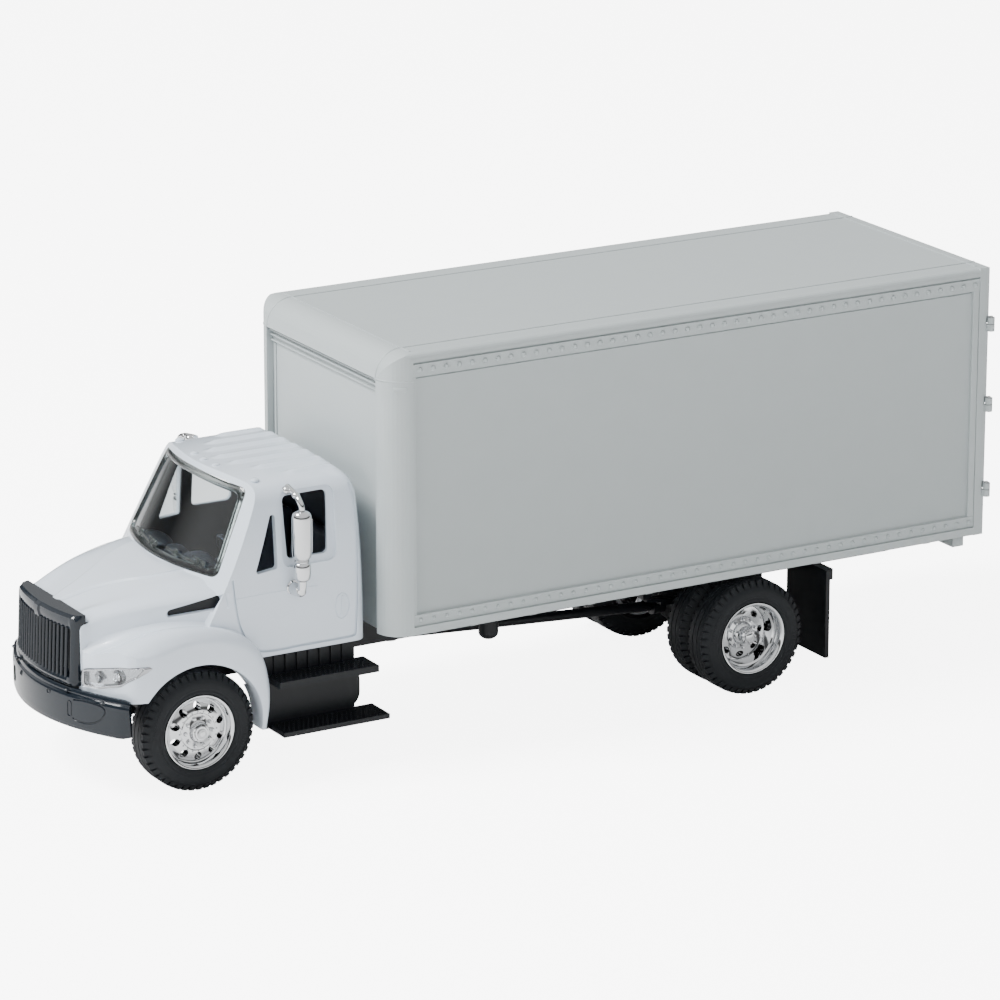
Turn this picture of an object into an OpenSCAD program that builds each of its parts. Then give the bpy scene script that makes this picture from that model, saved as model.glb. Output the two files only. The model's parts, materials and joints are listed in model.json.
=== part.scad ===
// Scale model of a box truck: bonneted cab, ladder chassis and van box with rear swing doors.
// Millimetres. Forward is -Y, +X is the driver's side, Z = 0 is the ground under the tyres.

/* [Overall] */
// Distance between the two axles
wheelbase = 128; // [122:1:154]
// Front of the bumper to the front axle
nose_reach = 25; // [25:0.5:30]
// Front axle to the front of the box
axle_to_box = 41.2; // [40.6:0.2:50]

/* [Cab] */
// Width of the cab across its doors
cab_w = 45.4; // [44:0.2:54]
// Height of the cab above the frame rails
cab_h = 36; // [35:0.5:44]
// Wall of the cab casting
cab_wall = 1.4; // [1:0.1:1.6]
// How far each wing stands out from the door
wing_out = 3; // [2:0.1:3.6]
// Clearance between a tyre and its wheel arch
arch_gap = 1.7; // [1.2:0.1:2]

/* [Box] */
// Length of the box
box_l = 145.8; // [136:1:176]
// Width of the box
box_w = 58; // [50:1:70]
// Height of the box
box_h = 59.2; // [49:1:72]
// Wall of the box
box_wall = 1.4; // [1:0.1:1.8]
// Radius of the rolled front edges
roll_r = 5.6; // [4:0.2:7]

/* [Rear doors] */
// Thickness of a door leaf
door_t = 1.5; // [1.2:0.1:2]
// Gap round each door leaf
door_gap = 0.3; // [0.2:0.05:0.5]
// Width of the rear frame's posts
post_w = 2; // [1.8:0.1:3]
// Diameter of a hinge pin
pin_d = 0.8; // [0.6:0.1:1]
// Diameter of a hinge knuckle
knuckle_d = 1.6; // [1.5:0.1:2.2]
// Diameter of a lock rod
rod_d = 0.8; // [0.6:0.1:1]

/* [Wheels] */
// Diameter of a tyre
tyre_d = 25; // [20:0.5:30]
// Width of a tyre
tyre_w = 7.4; // [6:0.1:8]
// Diameter of a wheel across its rim
rim_d = 15.6; // [14:0.2:16.6]
// Diameter of a steel axle
axle_d = 2; // [1.6:0.1:2.4]
// Gap between the two tyres of a pair
dual_gap = 1; // [0.6:0.1:2]

/* [Chassis] */
// Height of a frame rail
rail_h = 6; // [5:0.2:6.6]
// Distance between the rails' outer faces
rail_span = 20; // [18:0.5:22]
// Thickness of a rail
rail_t = 1.6; // [1.2:0.1:2]
// Depth of a step tread
tread_w = 6; // [4.5:0.1:7]

/* [Fits] */
// Running clearance on a radius
fit = 0.05; // [0.02:0.01:0.1]
// Clearance between parts that move past each other
clear = 0.3; // [0.25:0.05:0.4]
// Smoothness of round parts
smooth = 64; // [32:8:96]

/* [Hidden] */
$fn = smooth;

// Heights: the frame rails' top is level with the tops of the tyres
axle_z = tyre_d / 2;
deck = tyre_d;
box_z = deck + 1.2;
box_top = box_z + box_h;

// Lengths: Y = 0 is halfway between the bumper and the door hinges
hinge_out = 0.4;
total_l = nose_reach + axle_to_box + box_l + hinge_out + knuckle_d / 2;
nose_y = -total_l / 2;
front_y = nose_y + nose_reach;
rear_y = front_y + wheelbase;
box_y = front_y + axle_to_box;
box_end = box_y + box_l;

// Widths
half_cab = cab_w / 2;
half_wing = half_cab + wing_out;
half_box = box_w / 2;
front_face = half_cab + 2.3;
rear_face = half_box + 1.2;

// Cab shapes, measured from the front axle and the top of the frame rails
arch_r = tyre_d / 2 + arch_gap;
arch_x = front_face - tyre_w - 1.4;
cab_back = axle_to_box - 1.6;
screen_lean = 28.5;
screen_foot = [2.5, 17.6];
screen_h = cab_h - 16.4;
screen_bulge = 4;
belt = 17.5;
hood_nose = [-19.9, 11.8];
bumper_top = -3;
bumper_bottom = -11.1;
bumper_t = 1.6;
bumper_half = half_wing + 0.2;
grille_half = 13.4;
grille_z = [-2.6, 12];
lamp_z = [-1.4, 5];

// Rear doors
hinge_x = half_box + 0.4;
hinge_y = box_end + hinge_out;
frame_head = 3;
frame_depth = 2.4;
door_x = half_box - post_w - door_gap;
door_z = [box_z + frame_head + door_gap, box_top - frame_head - door_gap];
hinge_z = [for (share = [0.17, 0.49, 0.79]) box_z + share * box_h];
knuckle_l = 1.5;
rod_x = [door_x * 0.36, door_x * 0.72];

// Corner points turned into arcs: p is a list of points, r one radius or a list of them
function round_corners(p, r, n = 5) = [
  for (i = [0 : len(p) - 1])
    let (
      b = p[i],
      to_a = p[(i + len(p) - 1) % len(p)] - b,
      to_c = p[(i + 1) % len(p)] - b,
      u = to_a / norm(to_a),
      v = to_c / norm(to_c),
      rr = is_list(r) ? r[i] : r,
      half = acos(u * v) / 2,
      m = rr > 0 ? b + (u + v) / norm(u + v) * rr / sin(half) : b,
      s = b + u * rr / tan(half) - m,
      e = b + v * rr / tan(half) - m,
      a = atan2(s[1], s[0]),
      turn = (atan2(e[1], e[0]) - a + 540) % 360 - 180
    )
    each rr > 0 ? [for (k = [0 : n]) m + rr * [cos(a + turn * k / n), sin(a + turn * k / n)]] : [b]
];

// A left-hand outline and its mirror image, as one closed outline
function both_sides(p) = concat(p, [for (i = [len(p) - 1 : -1 : 0]) [-p[i][0], p[i][1]]]);

// Outline in Y and Z, spread across X
module across(w) {
  rotate([90, 0, 90]) translate([0, 0, -w / 2]) linear_extrude(w) children();
}

// Outline in X and Z, run from one Y to another
module along(y0, y1) {
  translate([0, y1, 0]) rotate([90, 0, 0]) linear_extrude(y1 - y0) children();
}

// Box from its low corner to its high corner
module block(low, high) {
  translate(low) cube(high - low);
}

// Round bar along X
module bar_x(r, x0, x1) {
  translate([x0, 0, 0]) rotate([0, 90, 0]) cylinder(r = r, h = x1 - x0);
}

module right_hand() {
  mirror([1, 0, 0]) children();
}

// Place of the cab's own shapes
module at_cab() {
  translate([0, front_y, deck]) children();
}

// Frame lying in the windshield's plane: X across, Y out to the rear, Z up the glass
module at_screen() {
  translate([0, screen_foot[0], screen_foot[1]]) rotate([-screen_lean, 0, 0]) children();
}

// Depth of the curved glass behind its middle
function glass_y(x) = screen_bulge * pow(x / 21, 2);

// Curved band that follows the glass, from d0 to d1 behind its outer face
function glass_band(half, d0, d1, n = 12) = concat(
  [for (i = [-n : n]) [half * i / n, glass_y(half * i / n) + d0]],
  [for (i = [n : -1 : -n]) [half * i / n, glass_y(half * i / n) + d1]]
);

// Windshield outline in its own plane
function screen_outline(inset) = both_sides(
  round_corners([[0, inset], [19.8 - inset, inset], [17.6 - inset, screen_h - inset],
                 [0, screen_h + 0.2 - inset]], [0, 1.4, 1.4, 0], 3)
);

// Cab widths seen from the front
function cab_section(w, h, inset) = both_sides([
  [w - 0.5 - inset, -18], [w - inset, 6], [w - inset, belt], [w - 2 - inset, h - 5 - inset],
  [w - 3 - inset, h - 2.4 - inset], [w - 5.4 - inset, h - 0.9 - inset], [w - 10, h - inset]
]);

module cabin_solid(inset) {
  intersection() {
    across(cab_w) polygon(round_corners([
      [2, inset == 0 ? 0 : -1], [cab_back - inset, inset == 0 ? 0 : -1],
      [cab_back - 1 - inset, cab_h - inset], [8, cab_h - inset], [-3, belt], [2, belt - 3]
    ], [0, 0.8, 4.5 - inset, 0, 0, 0]));
    along(-10, cab_back + 1) polygon(cab_section(half_cab, cab_h, inset));
    at_screen() translate([0, inset, -40]) linear_extrude(cab_h + 60)
      polygon(glass_band(half_cab + 1, 0, 60));
  }
}

module hood_solid(inset) {
  intersection() {
    across(cab_w) polygon([
      [9, inset == 0 ? 0 : -14], [9, belt - inset], [screen_foot[0] + 1, belt - inset],
      [hood_nose[0] + inset, hood_nose[1] - inset], [hood_nose[0] - 1.4 + inset, -2.8],
      [hood_nose[0] - 1.4 + inset, inset == 0 ? -2.8 : -14]
    ]);
    translate([0, 0, -20]) linear_extrude(60) polygon(both_sides([
      [grille_half + 0.6 - inset, hood_nose[0] - 3], [grille_half + 1.4 - inset, hood_nose[0] + 2],
      [half_cab - 4.4 - inset, -10], [half_cab - 1.2 - inset, 4], [half_cab - inset, 9]
    ]));
  }
}

// Wing over the front wheel, with the skirt behind it
module wing_solid(inset) {
  intersection() {
    across(2 * half_wing) polygon(concat(
      [[-22.4 + inset, -3], [-22.4 + inset, 4 - inset]],
      [for (a = [150 : -15 : 45])
        [(16.6 - inset) * cos(a) - 1.8, 2.4 + (7.2 - inset) * sin(a)]],
      [[13.4 - inset, 4.2], [15.4 - inset, -1], [arch_r + 1.8, -14.4], [arch_r - 0.6, -14.4], [12, -3]]
    ));
    translate([0, 0, -20]) linear_extrude(60) polygon(both_sides(round_corners([
      [0, -23.5 + inset], [13, -22.6 + inset], [half_wing - inset, -15.5], [half_wing - inset, 10],
      [half_wing - 1.4 - inset, 17], [0, 17]
    ], [0, 2, 4, 3, 0.5, 0], 4)));
    along(-30, 30) polygon(both_sides([
      [half_wing - 1.2 - inset, -20], [half_wing - inset, -6], [half_wing - inset, 2.4],
      [half_wing - 1 - inset, 5.2], [half_wing - 3.4 - inset, 7.6], [half_wing - 8 - inset, 9.6 - inset]
    ]));
  }
}

// Room for the front wheels, one on each side
module wheel_arches() {
  for (side = [-1, 1])
    translate([side * (arch_x + 15), 0, axle_z - deck]) {
      bar_x(arch_r, -15, 15);
      block([-15, -arch_r, -20], [15, arch_r - 1, 0]);
    }
}

// Side windows and vent, as outlines in Y and Z
vent_window = [[19.3, cab_h - 3.9], [14, belt + 0.1], [19.1, belt + 0.7]];
door_window = [[21.6, cab_h - 3.7], [31.7, cab_h - 3.7], [30.8, belt + 2.1], [21.6, belt + 2.1]];
hood_vent = [[-4.6, 12], [6.4, 14.5], [7.6, 11.9], [-3.6, 10.8]];

// Headlamp outline seen from the front, left side
function lamp_outline(inset) = round_corners([
  [grille_half + 0.9 + inset, lamp_z[0] + inset], [grille_half + 0.9 + inset, lamp_z[1] - inset],
  [half_wing - 5, lamp_z[1] - 0.5 - inset], [half_wing + 0.4 - inset, lamp_z[1] - 2.8],
  [half_wing - 2, lamp_z[0] + 0.9 + inset], [half_wing - 6.5, lamp_z[0] + inset]
], 0.5, 3);
lamp_rear = -11.5;

// Slice of the wing's skin behind the lamp outline
module lamp_skin(d0, d1, inset) {
  intersection() {
    difference() {
      wing_solid(d0);
      wing_solid(d1);
    }
    along(-30, lamp_rear - inset) polygon(lamp_outline(inset));
  }
}

module cab_body() {
  color("white") at_cab() {
    difference() {
      union() {
        cabin_solid(0);
        hood_solid(0);
        wing_solid(0);
      }
      cabin_solid(cab_wall);
      hood_solid(cab_wall);
      wing_solid(cab_wall);
      // One room from the engine bay to the seats, open underneath
      block([-grille_half, -19, -20], [grille_half, 20, 9.5]);
      block([-arch_x, -16, -20], [arch_x, 20, 0]);
      block([-half_cab + 3, 8, -1], [half_cab - 3, 20, 16]);
      wheel_arches();
      // Glass opening, side windows, vents
      at_screen() along(-6, 11) polygon(screen_outline(0));
      across(80) polygon(round_corners(vent_window, 0.5, 3));
      across(80) polygon(round_corners(door_window, 1, 3));
      across(80) polygon(round_corners(hood_vent, 0.5, 2));
      // Grille and lamp openings
      block([-grille_half, -40, grille_z[0]], [grille_half, -18, grille_z[1] - 1.2]);
      for (side = [0, 1])
        mirror([side, 0, 0]) along(-30, lamp_rear) polygon(lamp_outline(0));
    }
    roof_ribs();
  }
}

// Ribs pressed into the roof and marker lamp bumps over the glass
module roof_ribs() {
  rib_pitch = 5.1;
  for (i = [-3 : 3])
    translate([i * rib_pitch, 18 + abs(i), cab_h - 0.15 - 0.05 * abs(i)])
      rotate([-90, 0, 0]) cylinder(r = 0.6, h = 17 - abs(i));
  for (x = [-4.8, 0, 4.8])
    translate([x, 13.6, cab_h - 0.1]) sphere(r = 0.8);
}

module windshield() {
  color("lightblue", 0.4) at_cab() at_screen() intersection() {
    along(-1, 12) polygon(screen_outline(fit));
    translate([0, 0, -2]) linear_extrude(cab_h) polygon(glass_band(21, 0, 1.1));
  }
}

module seat_tub() {
  pan_half = half_cab - cab_wall - 0.35;
  seat_x = 10.2;
  color("dimgray") at_cab() {
    block([-pan_half, arch_r + 0.3, 0], [pan_half, cab_back - cab_wall - 0.1, 1.2]);
    block([-13.5, 5, 0], [13.5, arch_r + 0.3, 1.2]);
    for (side = [-1, 1]) {
      translate([side * seat_x, 0, 0]) across(14)
        polygon(round_corners([
          [19, 1.2], [19, 8.4], [31, 7.4], [33.2, 22], [36.2, 22], [35, 1.2]
        ], [0, 1.6, 1.4, 1.4, 1.4, 0]));
    }
  }
}

module dashboard() {
  dash_half = half_cab - cab_wall - 0.2;
  color("dimgray") at_cab() intersection() {
    union() {
      across(2 * dash_half) polygon(round_corners([
        [4.4, 8], [5, 17], [10.4, 16.6], [11.4, 12.6], [10, 8]
      ], [0, 0.8, 1.6, 1, 0.6]));
      translate([10.2, 0, 0]) across(10.6) polygon(round_corners([
        [6.4, 15], [7, 18.6], [10.8, 18.6], [11.6, 15]
      ], [0, 1.2, 1.2, 0]));
    }
    at_screen() translate([0, 0, -30]) linear_extrude(60) polygon(glass_band(21.4, 1.5, 30));
    block([-dash_half, 0, 0], [dash_half, 40, 30]);
  }
}

wheel_at = [10.2, 15.2, 18.6];
wheel_tilt = 62;

module steering_wheel() {
  rim_r = 4.2;
  color("black") at_cab() translate(wheel_at) rotate([180 - wheel_tilt, 0, 0]) {
    rotate_extrude() translate([rim_r, 0]) circle(r = 0.5, $fn = 24);
    for (a = [-30, 90, 210])
      rotate(a) rotate([0, 90, 0]) cylinder(r = 0.4, h = rim_r, $fn = 24);
    cylinder(r = 1, h = 3.9);
  }
}

module grille() {
  bars = 17;
  pitch = (2 * grille_half - 3) / bars;
  tall = grille_z[1] - grille_z[0];
  color("gray") at_cab() difference() {
    intersection() {
      across(2 * grille_half - 0.1) polygon([
        [-23.8, grille_z[0]], [-23.8, grille_z[0] + 1], [-20.9, grille_z[1]],
        [hood_nose[0] - 0.2, grille_z[1]], [hood_nose[0] - 0.2, grille_z[0]]
      ]);
      translate([0, 4.2, grille_z[0] - 1]) cylinder(r = 28, h = tall + 2);
      block([-grille_half, -40, grille_z[0] + 0.05], [grille_half, 0, grille_z[1]]);
    }
    for (i = [0 : bars - 1])
      translate([(i - (bars - 1) / 2) * pitch, 0, 0])
        across(pitch * 0.5) polygon([
          [-30, grille_z[0] + 2], [-20.6, grille_z[0] + 2],
          [-20, grille_z[1] - 2.4], [-30, grille_z[1] - 2.4]
        ]);
  }
}

function bumper_y(x) = -nose_reach + 7.6 * pow(x / (bumper_half - 1.2), 2);

module front_bumper() {
  n = 12;
  side = bumper_half - 1.2;
  color("gray") at_cab() intersection() {
    translate([0, 0, bumper_bottom]) linear_extrude(bumper_top - bumper_bottom)
      polygon(both_sides(concat(
      [for (i = [0 : n]) [side * i / n, bumper_y(side * i / n)]],
      [[bumper_half, -15.6], [bumper_half, -13.8], [bumper_half - bumper_t, -13.8]],
      [for (i = [n : -1 : 0]) [(side - bumper_t) * i / n, bumper_y((side - bumper_t) * i / n) + bumper_t]]
    )));
    across(2 * bumper_half) polygon([
      [-nose_reach - 1, bumper_bottom], [-16.6, bumper_bottom], [-13.8, -4], [-13.8, bumper_top],
      [-nose_reach - 1, bumper_top]
    ]);
  }
}

module headlight_left() {
  color("silver") at_cab() lamp_skin(0.8, 2.2, 0.1);
}

module headlight_lens_left() {
  color("lightblue", 0.4) at_cab() lamp_skin(0, 0.75, 0.1);
}

module hood_vent_left() {
  color("black") at_cab() intersection() {
    along(-10, 12) polygon([
      [half_cab - 6, 8], [half_cab - 2.6, 8], [half_cab - 2.6, 20], [half_cab - 6, 20]
    ]);
    across(80) polygon(round_corners(hood_vent, 0.5, 2));
    difference() {
      hood_solid(0.35);
      hood_solid(cab_wall);
    }
  }
}

module mirror_left() {
  head_x = half_cab + 4.1;
  head_y = 22.4;
  head_r = 2.1;
  foot_r = 1.7;
  color("silver") at_cab() translate([0, head_y, 0]) {
    translate([head_x, 0, belt + 3.2]) capsule(head_r, 10.2);
    translate([head_x, 0, belt - 1.3]) capsule(foot_r, 4.6);
    translate([0, 0, cab_h - 3.2]) bar_x(0.7, half_cab - 2.36, head_x);
    translate([head_x, 0, belt + 12]) cylinder(r = 0.7, h = cab_h - belt - 15.2);
    translate([head_x, 0, cab_h - 3.2]) sphere(r = 0.9);
    translate([0, 0, belt - 3.4]) bar_x(0.8, half_cab + 0.05, head_x);
    translate([head_x, 0, belt - 3.4]) cylinder(r = 0.8, h = 3);
    translate([head_x, 0, belt - 3.4]) sphere(r = 1);
  }
}

// Upright round body with domed ends
module capsule(r, h) {
  dome = 0.7 * r;
  rotate_extrude() polygon(concat(
    [[0, 0]],
    [for (a = [-75 : 15 : 0]) [r * cos(a), dome + dome * sin(a)]],
    [for (a = [0 : 15 : 75]) [r * cos(a), h - dome + dome * sin(a)]],
    [[0, h]]
  ));
}

// Chassis, in the cab's own frame: Y from the front axle, Z from the top of the rails
rail_end = axle_to_box + box_l - 11.5;
rail_in = rail_span / 2;
cross_low = -4.4;
crosses = [-17, 30, 46, 74, wheelbase - 18, wheelbase + 18, rail_end - 3];
front_spring = 11;
rear_spring = 14;
spring_x = rail_in - 1;
boss_y = [54, min(wheelbase + 26, rail_end - 4)];
boss_x = 5.4;
boss_r = 2;
screw_r = 0.9;

module chassis_frame() {
  color([0.1, 0.1, 0.12]) at_cab() difference() {
    union() {
      for (side = [0, 1]) mirror([side, 0, 0]) {
        block([rail_in - rail_t, -18.6, -rail_h], [rail_in, rail_end, 0]);
        block([rail_in - 3, -18.6, -rail_h], [rail_in, rail_end, -rail_h + 1]);
        block([rail_in - 3, -18.6, -1], [rail_in, rail_end, 0]);
        block([rail_in - 3, -21.3, -rail_h], [rail_in, -18.6, -3.2]);
        for (y = boss_y)
          translate([boss_x, y, -rail_h - 0.6]) cylinder(r = boss_r, h = rail_h + 0.6);
        for (end = [[0, front_spring], [wheelbase, rear_spring]])
          for (way = [-1, 1])
            translate([0, end[0] + way * end[1], 0])
              block([spring_x - 1.2, -1, -rail_h - 1.2], [spring_x + 1, 1, -rail_h]);
      }
      for (y = crosses)
        block([-rail_in, y - 1.2, cross_low], [rail_in, y + 1.2, -1]);
    }
    for (side = [-1, 1], y = boss_y)
      translate([side * boss_x, y, -20]) cylinder(r = screw_r, h = 30);
  }
}

// Springs: the pack bows down from the hangers to the seat over the axle
leaf = 0.7;
eye = -rail_h - 1.22;
seat_over_axle = 2.15;
spring_foot = axle_z - deck + seat_over_axle;
rise = eye - 3 * leaf - spring_foot;

// Pack of three curved leaves as one stepped outline, its ends up against the hangers
function leaf_row(half, depth, from, to) = [
  for (k = [from : -1 : to]) [half * k / 8, eye - depth - rise * (1 - pow(k / 8, 2))]
];

module leaf_pack(half) {
  across(2) polygon(concat(
    leaf_row(half, leaf, 8, 6), leaf_row(half, 2 * leaf, 6, 4), leaf_row(half, 3 * leaf, 4, -4),
    leaf_row(half, 2 * leaf, -4, -6), leaf_row(half, leaf, -6, -8),
    [for (k = [-8 : 8]) leaf_row(half, 0, k, k)[0]]
  ));
}

module front_springs() {
  color("black") at_cab() for (side = [-1, 1])
    translate([side * (spring_x - 0.1), 0, 0]) leaf_pack(front_spring);
}

module rear_springs() {
  color("black") at_cab() for (side = [-1, 1])
    translate([side * (spring_x - 0.1), wheelbase, 0]) leaf_pack(rear_spring);
}

front_hub_in = front_face - tyre_w - 0.8;
rear_inner = rear_face - 2 * tyre_w - dual_gap;
rear_hub_in = rear_inner - 0.6;

module front_axle_beam() {
  half = front_hub_in - clear;
  low = axle_z - deck;
  color("black") at_cab() difference() {
    union() {
      block([-half, -1.9, low - 1.9], [half, 1.9, low + 1.9]);
      for (side = [-1, 1])
        translate([side * (spring_x - 0.1), 0, 0]) block([-1.5, -1.9, low], [1.5, 1.9, spring_foot]);
    }
    translate([0, 0, low]) bar_x(axle_d / 2 + fit, -half - 1, half + 1);
  }
}

module rear_axle_housing() {
  half = rear_hub_in - clear;
  low = axle_z - deck;
  tube_r = 2.1;
  gear_r = 4.6;
  color("black") at_cab() translate([0, wheelbase, 0]) difference() {
    union() {
      // Tube and gear case in one revolved shape
      translate([0, 0, low]) rotate([0, 90, 0]) rotate_extrude() polygon(concat(
        [[0, -half], [tube_r, -half]],
        [for (a = [-60 : 15 : 60]) [gear_r * cos(a), gear_r * sin(a)]],
        [[tube_r, half], [0, half]]
      ));
      translate([0, -gear_r - 2.4, low]) rotate([-90, 0, 0]) cylinder(r = 1.9, h = gear_r + 1);
      for (side = [-1, 1])
        translate([side * (spring_x - 0.1), 0, 0]) block([-1.5, -2.4, low - 0.4], [1.5, 2.4, spring_foot]);
    }
    translate([0, 0, low]) bar_x(axle_d / 2 + fit, -half - 1, half + 1);
  }
}

module driveline() {
  start = [0, 37, -7];
  finish = [0, wheelbase - 7.2, axle_z - deck];
  run = finish - start;
  color("black") at_cab() {
    across(9) polygon(round_corners([
      [-14, cross_low - 4], [-14, cross_low], [34, cross_low], [37, cross_low - 1.4],
      [37, cross_low - 3.8], [16, cross_low - 4.6], [10, cross_low - 4]
    ], 0.5, 3));
    translate(start) rotate([-90 + asin(run[2] / norm(run)), 0, 0]) cylinder(r = 1.1, h = norm(run));
    translate(start) rotate([-90, 0, 0]) cylinder(r = 1.7, h = 3);
  }
}

module air_dryer() {
  can_r = 2.1;
  color("black") at_cab() translate([rail_in + can_r + 0.6, 73.5, -8.4]) {
    capsule(can_r, 7.4);
    block([-can_r - 0.6, -1, 4], [0, 1, 6.4]);
  }
}

module step_left() {
  back = half_cab - 3.4;
  face = half_cab - 2.4;
  low = bumper_bottom - 5.1;
  color([0.1, 0.1, 0.12]) at_cab() {
    // Ribbed panel under the door, with the two treads on it
    block([back, arch_r + 2.2, low], [face, 37.6, -0.05]);
    for (y = [19 : 2.6 : 36])
      block([face, y, -4.7], [face + 0.4, y + 0.6, -0.6]);
    block([back, 17.5, -6.1], [half_cab - 2.6 + tread_w, 40.2, -4.7]);
    block([back, 17.9, low], [half_cab - 1.8 + tread_w, 42.2, low + 1]);
    // Tank behind the panel, strapped to the rail
    across_at(rail_in + 1.4, back) polygon(round_corners([
      [18, -15.2], [18, -6.6], [39.4, -6.6], [39.4, -15.2]
    ], 3, 5));
    for (y = [20, 34])
      block([rail_in, y, -5], [back, y + 2, -2]);
    block([rail_in + 1.6, 20, -7], [back, 36, -4.5]);
  }
}

// Outline in Y and Z between two X positions
module across_at(x0, x1) {
  translate([(x0 + x1) / 2, 0, 0]) across(x1 - x0) children();
}

flap_y = wheelbase + tyre_d / 2 + 6.6;

module mud_flap_left() {
  color([0.1, 0.1, 0.12]) at_cab() {
    block([rear_inner - 1, flap_y, -deck + 4.5], [rear_face - 1.6, flap_y + 1, -1]);
    block([rail_in, flap_y, -3.4], [rear_face - 2.4, flap_y + 2.2, -1]);
  }
}

module chassis_screws() {
  head_r = 1.5;
  color("silver") at_cab() for (side = [-1, 1], y = boss_y)
    translate([side * boss_x, y, -rail_h - 0.6]) difference() {
      union() {
        translate([0, 0, -0.8]) cylinder(r = head_r, h = 0.8);
        cylinder(r = screw_r, h = rail_h + 0.6 + 2.2);
      }
      for (turn = [0, 90])
        rotate(turn) block([-1.1, -0.2, -1], [1.1, 0.2, -0.3]);
    }
}

// Box outlines
panel_in = 0.5;
floor_t = 1.4;
wall_in = half_box - box_wall;
body_y0 = box_y + roll_r;
body_y1 = box_end - frame_depth;
roll_z = box_top - roll_r;
bar_y = box_end - 4.2;

// Plan of the rounded front posts and the recessed wall between them
function post_arc(r, n = 10) = [
  for (i = [0 : n]) [half_box - roll_r + r * sin(90 * i / n), box_y + roll_r - r * cos(90 * i / n)]
];

module box_floor() {
  floor_nose = half_box - roll_r + 1.5;
  color("white") difference() {
    union() {
      block([-wall_in + fit, body_y0, box_z], [wall_in - fit, body_y1, box_z + floor_t]);
      block([-floor_nose, box_y + 3, box_z], [floor_nose, body_y0, box_z + floor_t]);
      for (side = [-1, 1])
        translate([side * (rail_in - 1.6), 0, 0])
          block([-1.6, box_y + 3, deck], [1.6, bar_y, box_z]);
      for (y = [box_y + 7 : 14 : bar_y - 4])
        if (abs(y - rear_y) > arch_r + 1.4)
          block([-wall_in + 1, y - 0.8, deck + 0.3], [wall_in - 1, y + 0.8, box_z]);
    }
    for (side = [-1, 1], y = boss_y)
      translate([side * boss_x, front_y + y, deck - 1]) cylinder(r = screw_r, h = 20);
  }
}

module box_side_left() {
  strip = 4.9;
  color("white") {
    block([wall_in, body_y0, box_z], [half_box - panel_in, body_y1, box_top - box_wall]);
    block([wall_in, body_y0, box_z], [half_box, body_y1, box_z + strip - 0.5]);
    block([wall_in, body_y0, box_top - strip], [half_box, body_y1, box_top - box_wall]);
  }
}

// Solid with the roof's rolled front and rounded long edges, shrunk by inset
module roof_solid(inset) {
  roll = roll_r - inset;
  edge = 1.2;
  intersection() {
    across(2 * (half_box - inset)) polygon(concat(
      [[body_y0 - roll, roll_z - 1]],
      [for (a = [180 : -9 : 90]) [body_y0 + roll * cos(a), roll_z + roll * sin(a)]],
      [[box_end + 1, box_top - inset], [box_end + 1, roll_z - 1]]
    ));
    translate([0, 0, roll_z - 1]) linear_extrude(roll_r + 2)
      polygon(both_sides(concat(post_arc(roll), [[half_box - inset, box_end + 1]])));
    if (inset == 0)
      along(box_y - 1, box_end + 2) polygon(both_sides(round_corners([
        [0, roll_z - 2], [half_box, roll_z - 2], [half_box, box_top], [0, box_top]
      ], [0, 0, edge, 0], 4)));
  }
}

module box_roof() {
  color("white") difference() {
    roof_solid(0);
    roof_solid(box_wall);
    block([-half_box - 1, box_y - 1, roll_z - 20], [half_box + 1, box_end + 3, roll_z]);
    block([-half_box - 1, body_y0, roll_z - 20], [half_box + 1, box_end + 3, box_top - box_wall]);
    block([-half_box - 1, body_y1, roll_z - 20], [half_box + 1, box_end + 3, box_top + 1]);
  }
}

// Inner face of the post, up to the back of the recessed wall
function post_inside(back) = [
  for (i = [10 : -1 : 0]) let (p = post_arc(roll_r - box_wall)[i]) if (p[1] > back) p
];

module box_front() {
  recess = 1.5;
  back = box_y + recess + box_wall;
  color("white") translate([0, 0, box_z]) linear_extrude(roll_z - box_z) polygon(both_sides(concat(
    [[0, box_y + recess], [half_box - roll_r, box_y + recess]],
    post_arc(roll_r),
    post_inside(back),
    [[half_box - roll_r + 1.6, back], [0, back]]
  )));
}

// Frame round the doors, with the fixed knuckles
module rear_frame() {
  frame_y = body_y1;
  color("white") {
    difference() {
      union() {
        along(frame_y, box_end) difference() {
          polygon([[-half_box, box_z], [half_box, box_z], [half_box, box_top], [-half_box, box_top]]);
          polygon([
            [-half_box + post_w, box_z + frame_head], [half_box - post_w, box_z + frame_head],
            [half_box - post_w, box_top - frame_head], [-half_box + post_w, box_top - frame_head]
          ]);
        }
        for (side = [-1, 1], z = hinge_z)
          translate([side * hinge_x, hinge_y, z - knuckle_l]) {
            cylinder(d = knuckle_d, h = knuckle_l);
            block([min(0, -side), -1, 0], [max(0, -side), 0, knuckle_l]);
          }
      }
      for (side = [-1, 1], z = hinge_z)
        translate([side * hinge_x, hinge_y, z]) {
          translate([0, 0, -knuckle_l - 1]) cylinder(d = pin_d, h = 2 * knuckle_l + 2);
          cylinder(r = knuckle_d / 2 + clear, h = knuckle_l + clear);
        }
    }
  }
}

module hinge_pins() {
  color("silver") for (side = [-1, 1], z = hinge_z)
    translate([side * hinge_x, hinge_y, z - knuckle_l - 0.1]) cylinder(d = pin_d, h = 2 * knuckle_l + 0.4);
}

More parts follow.
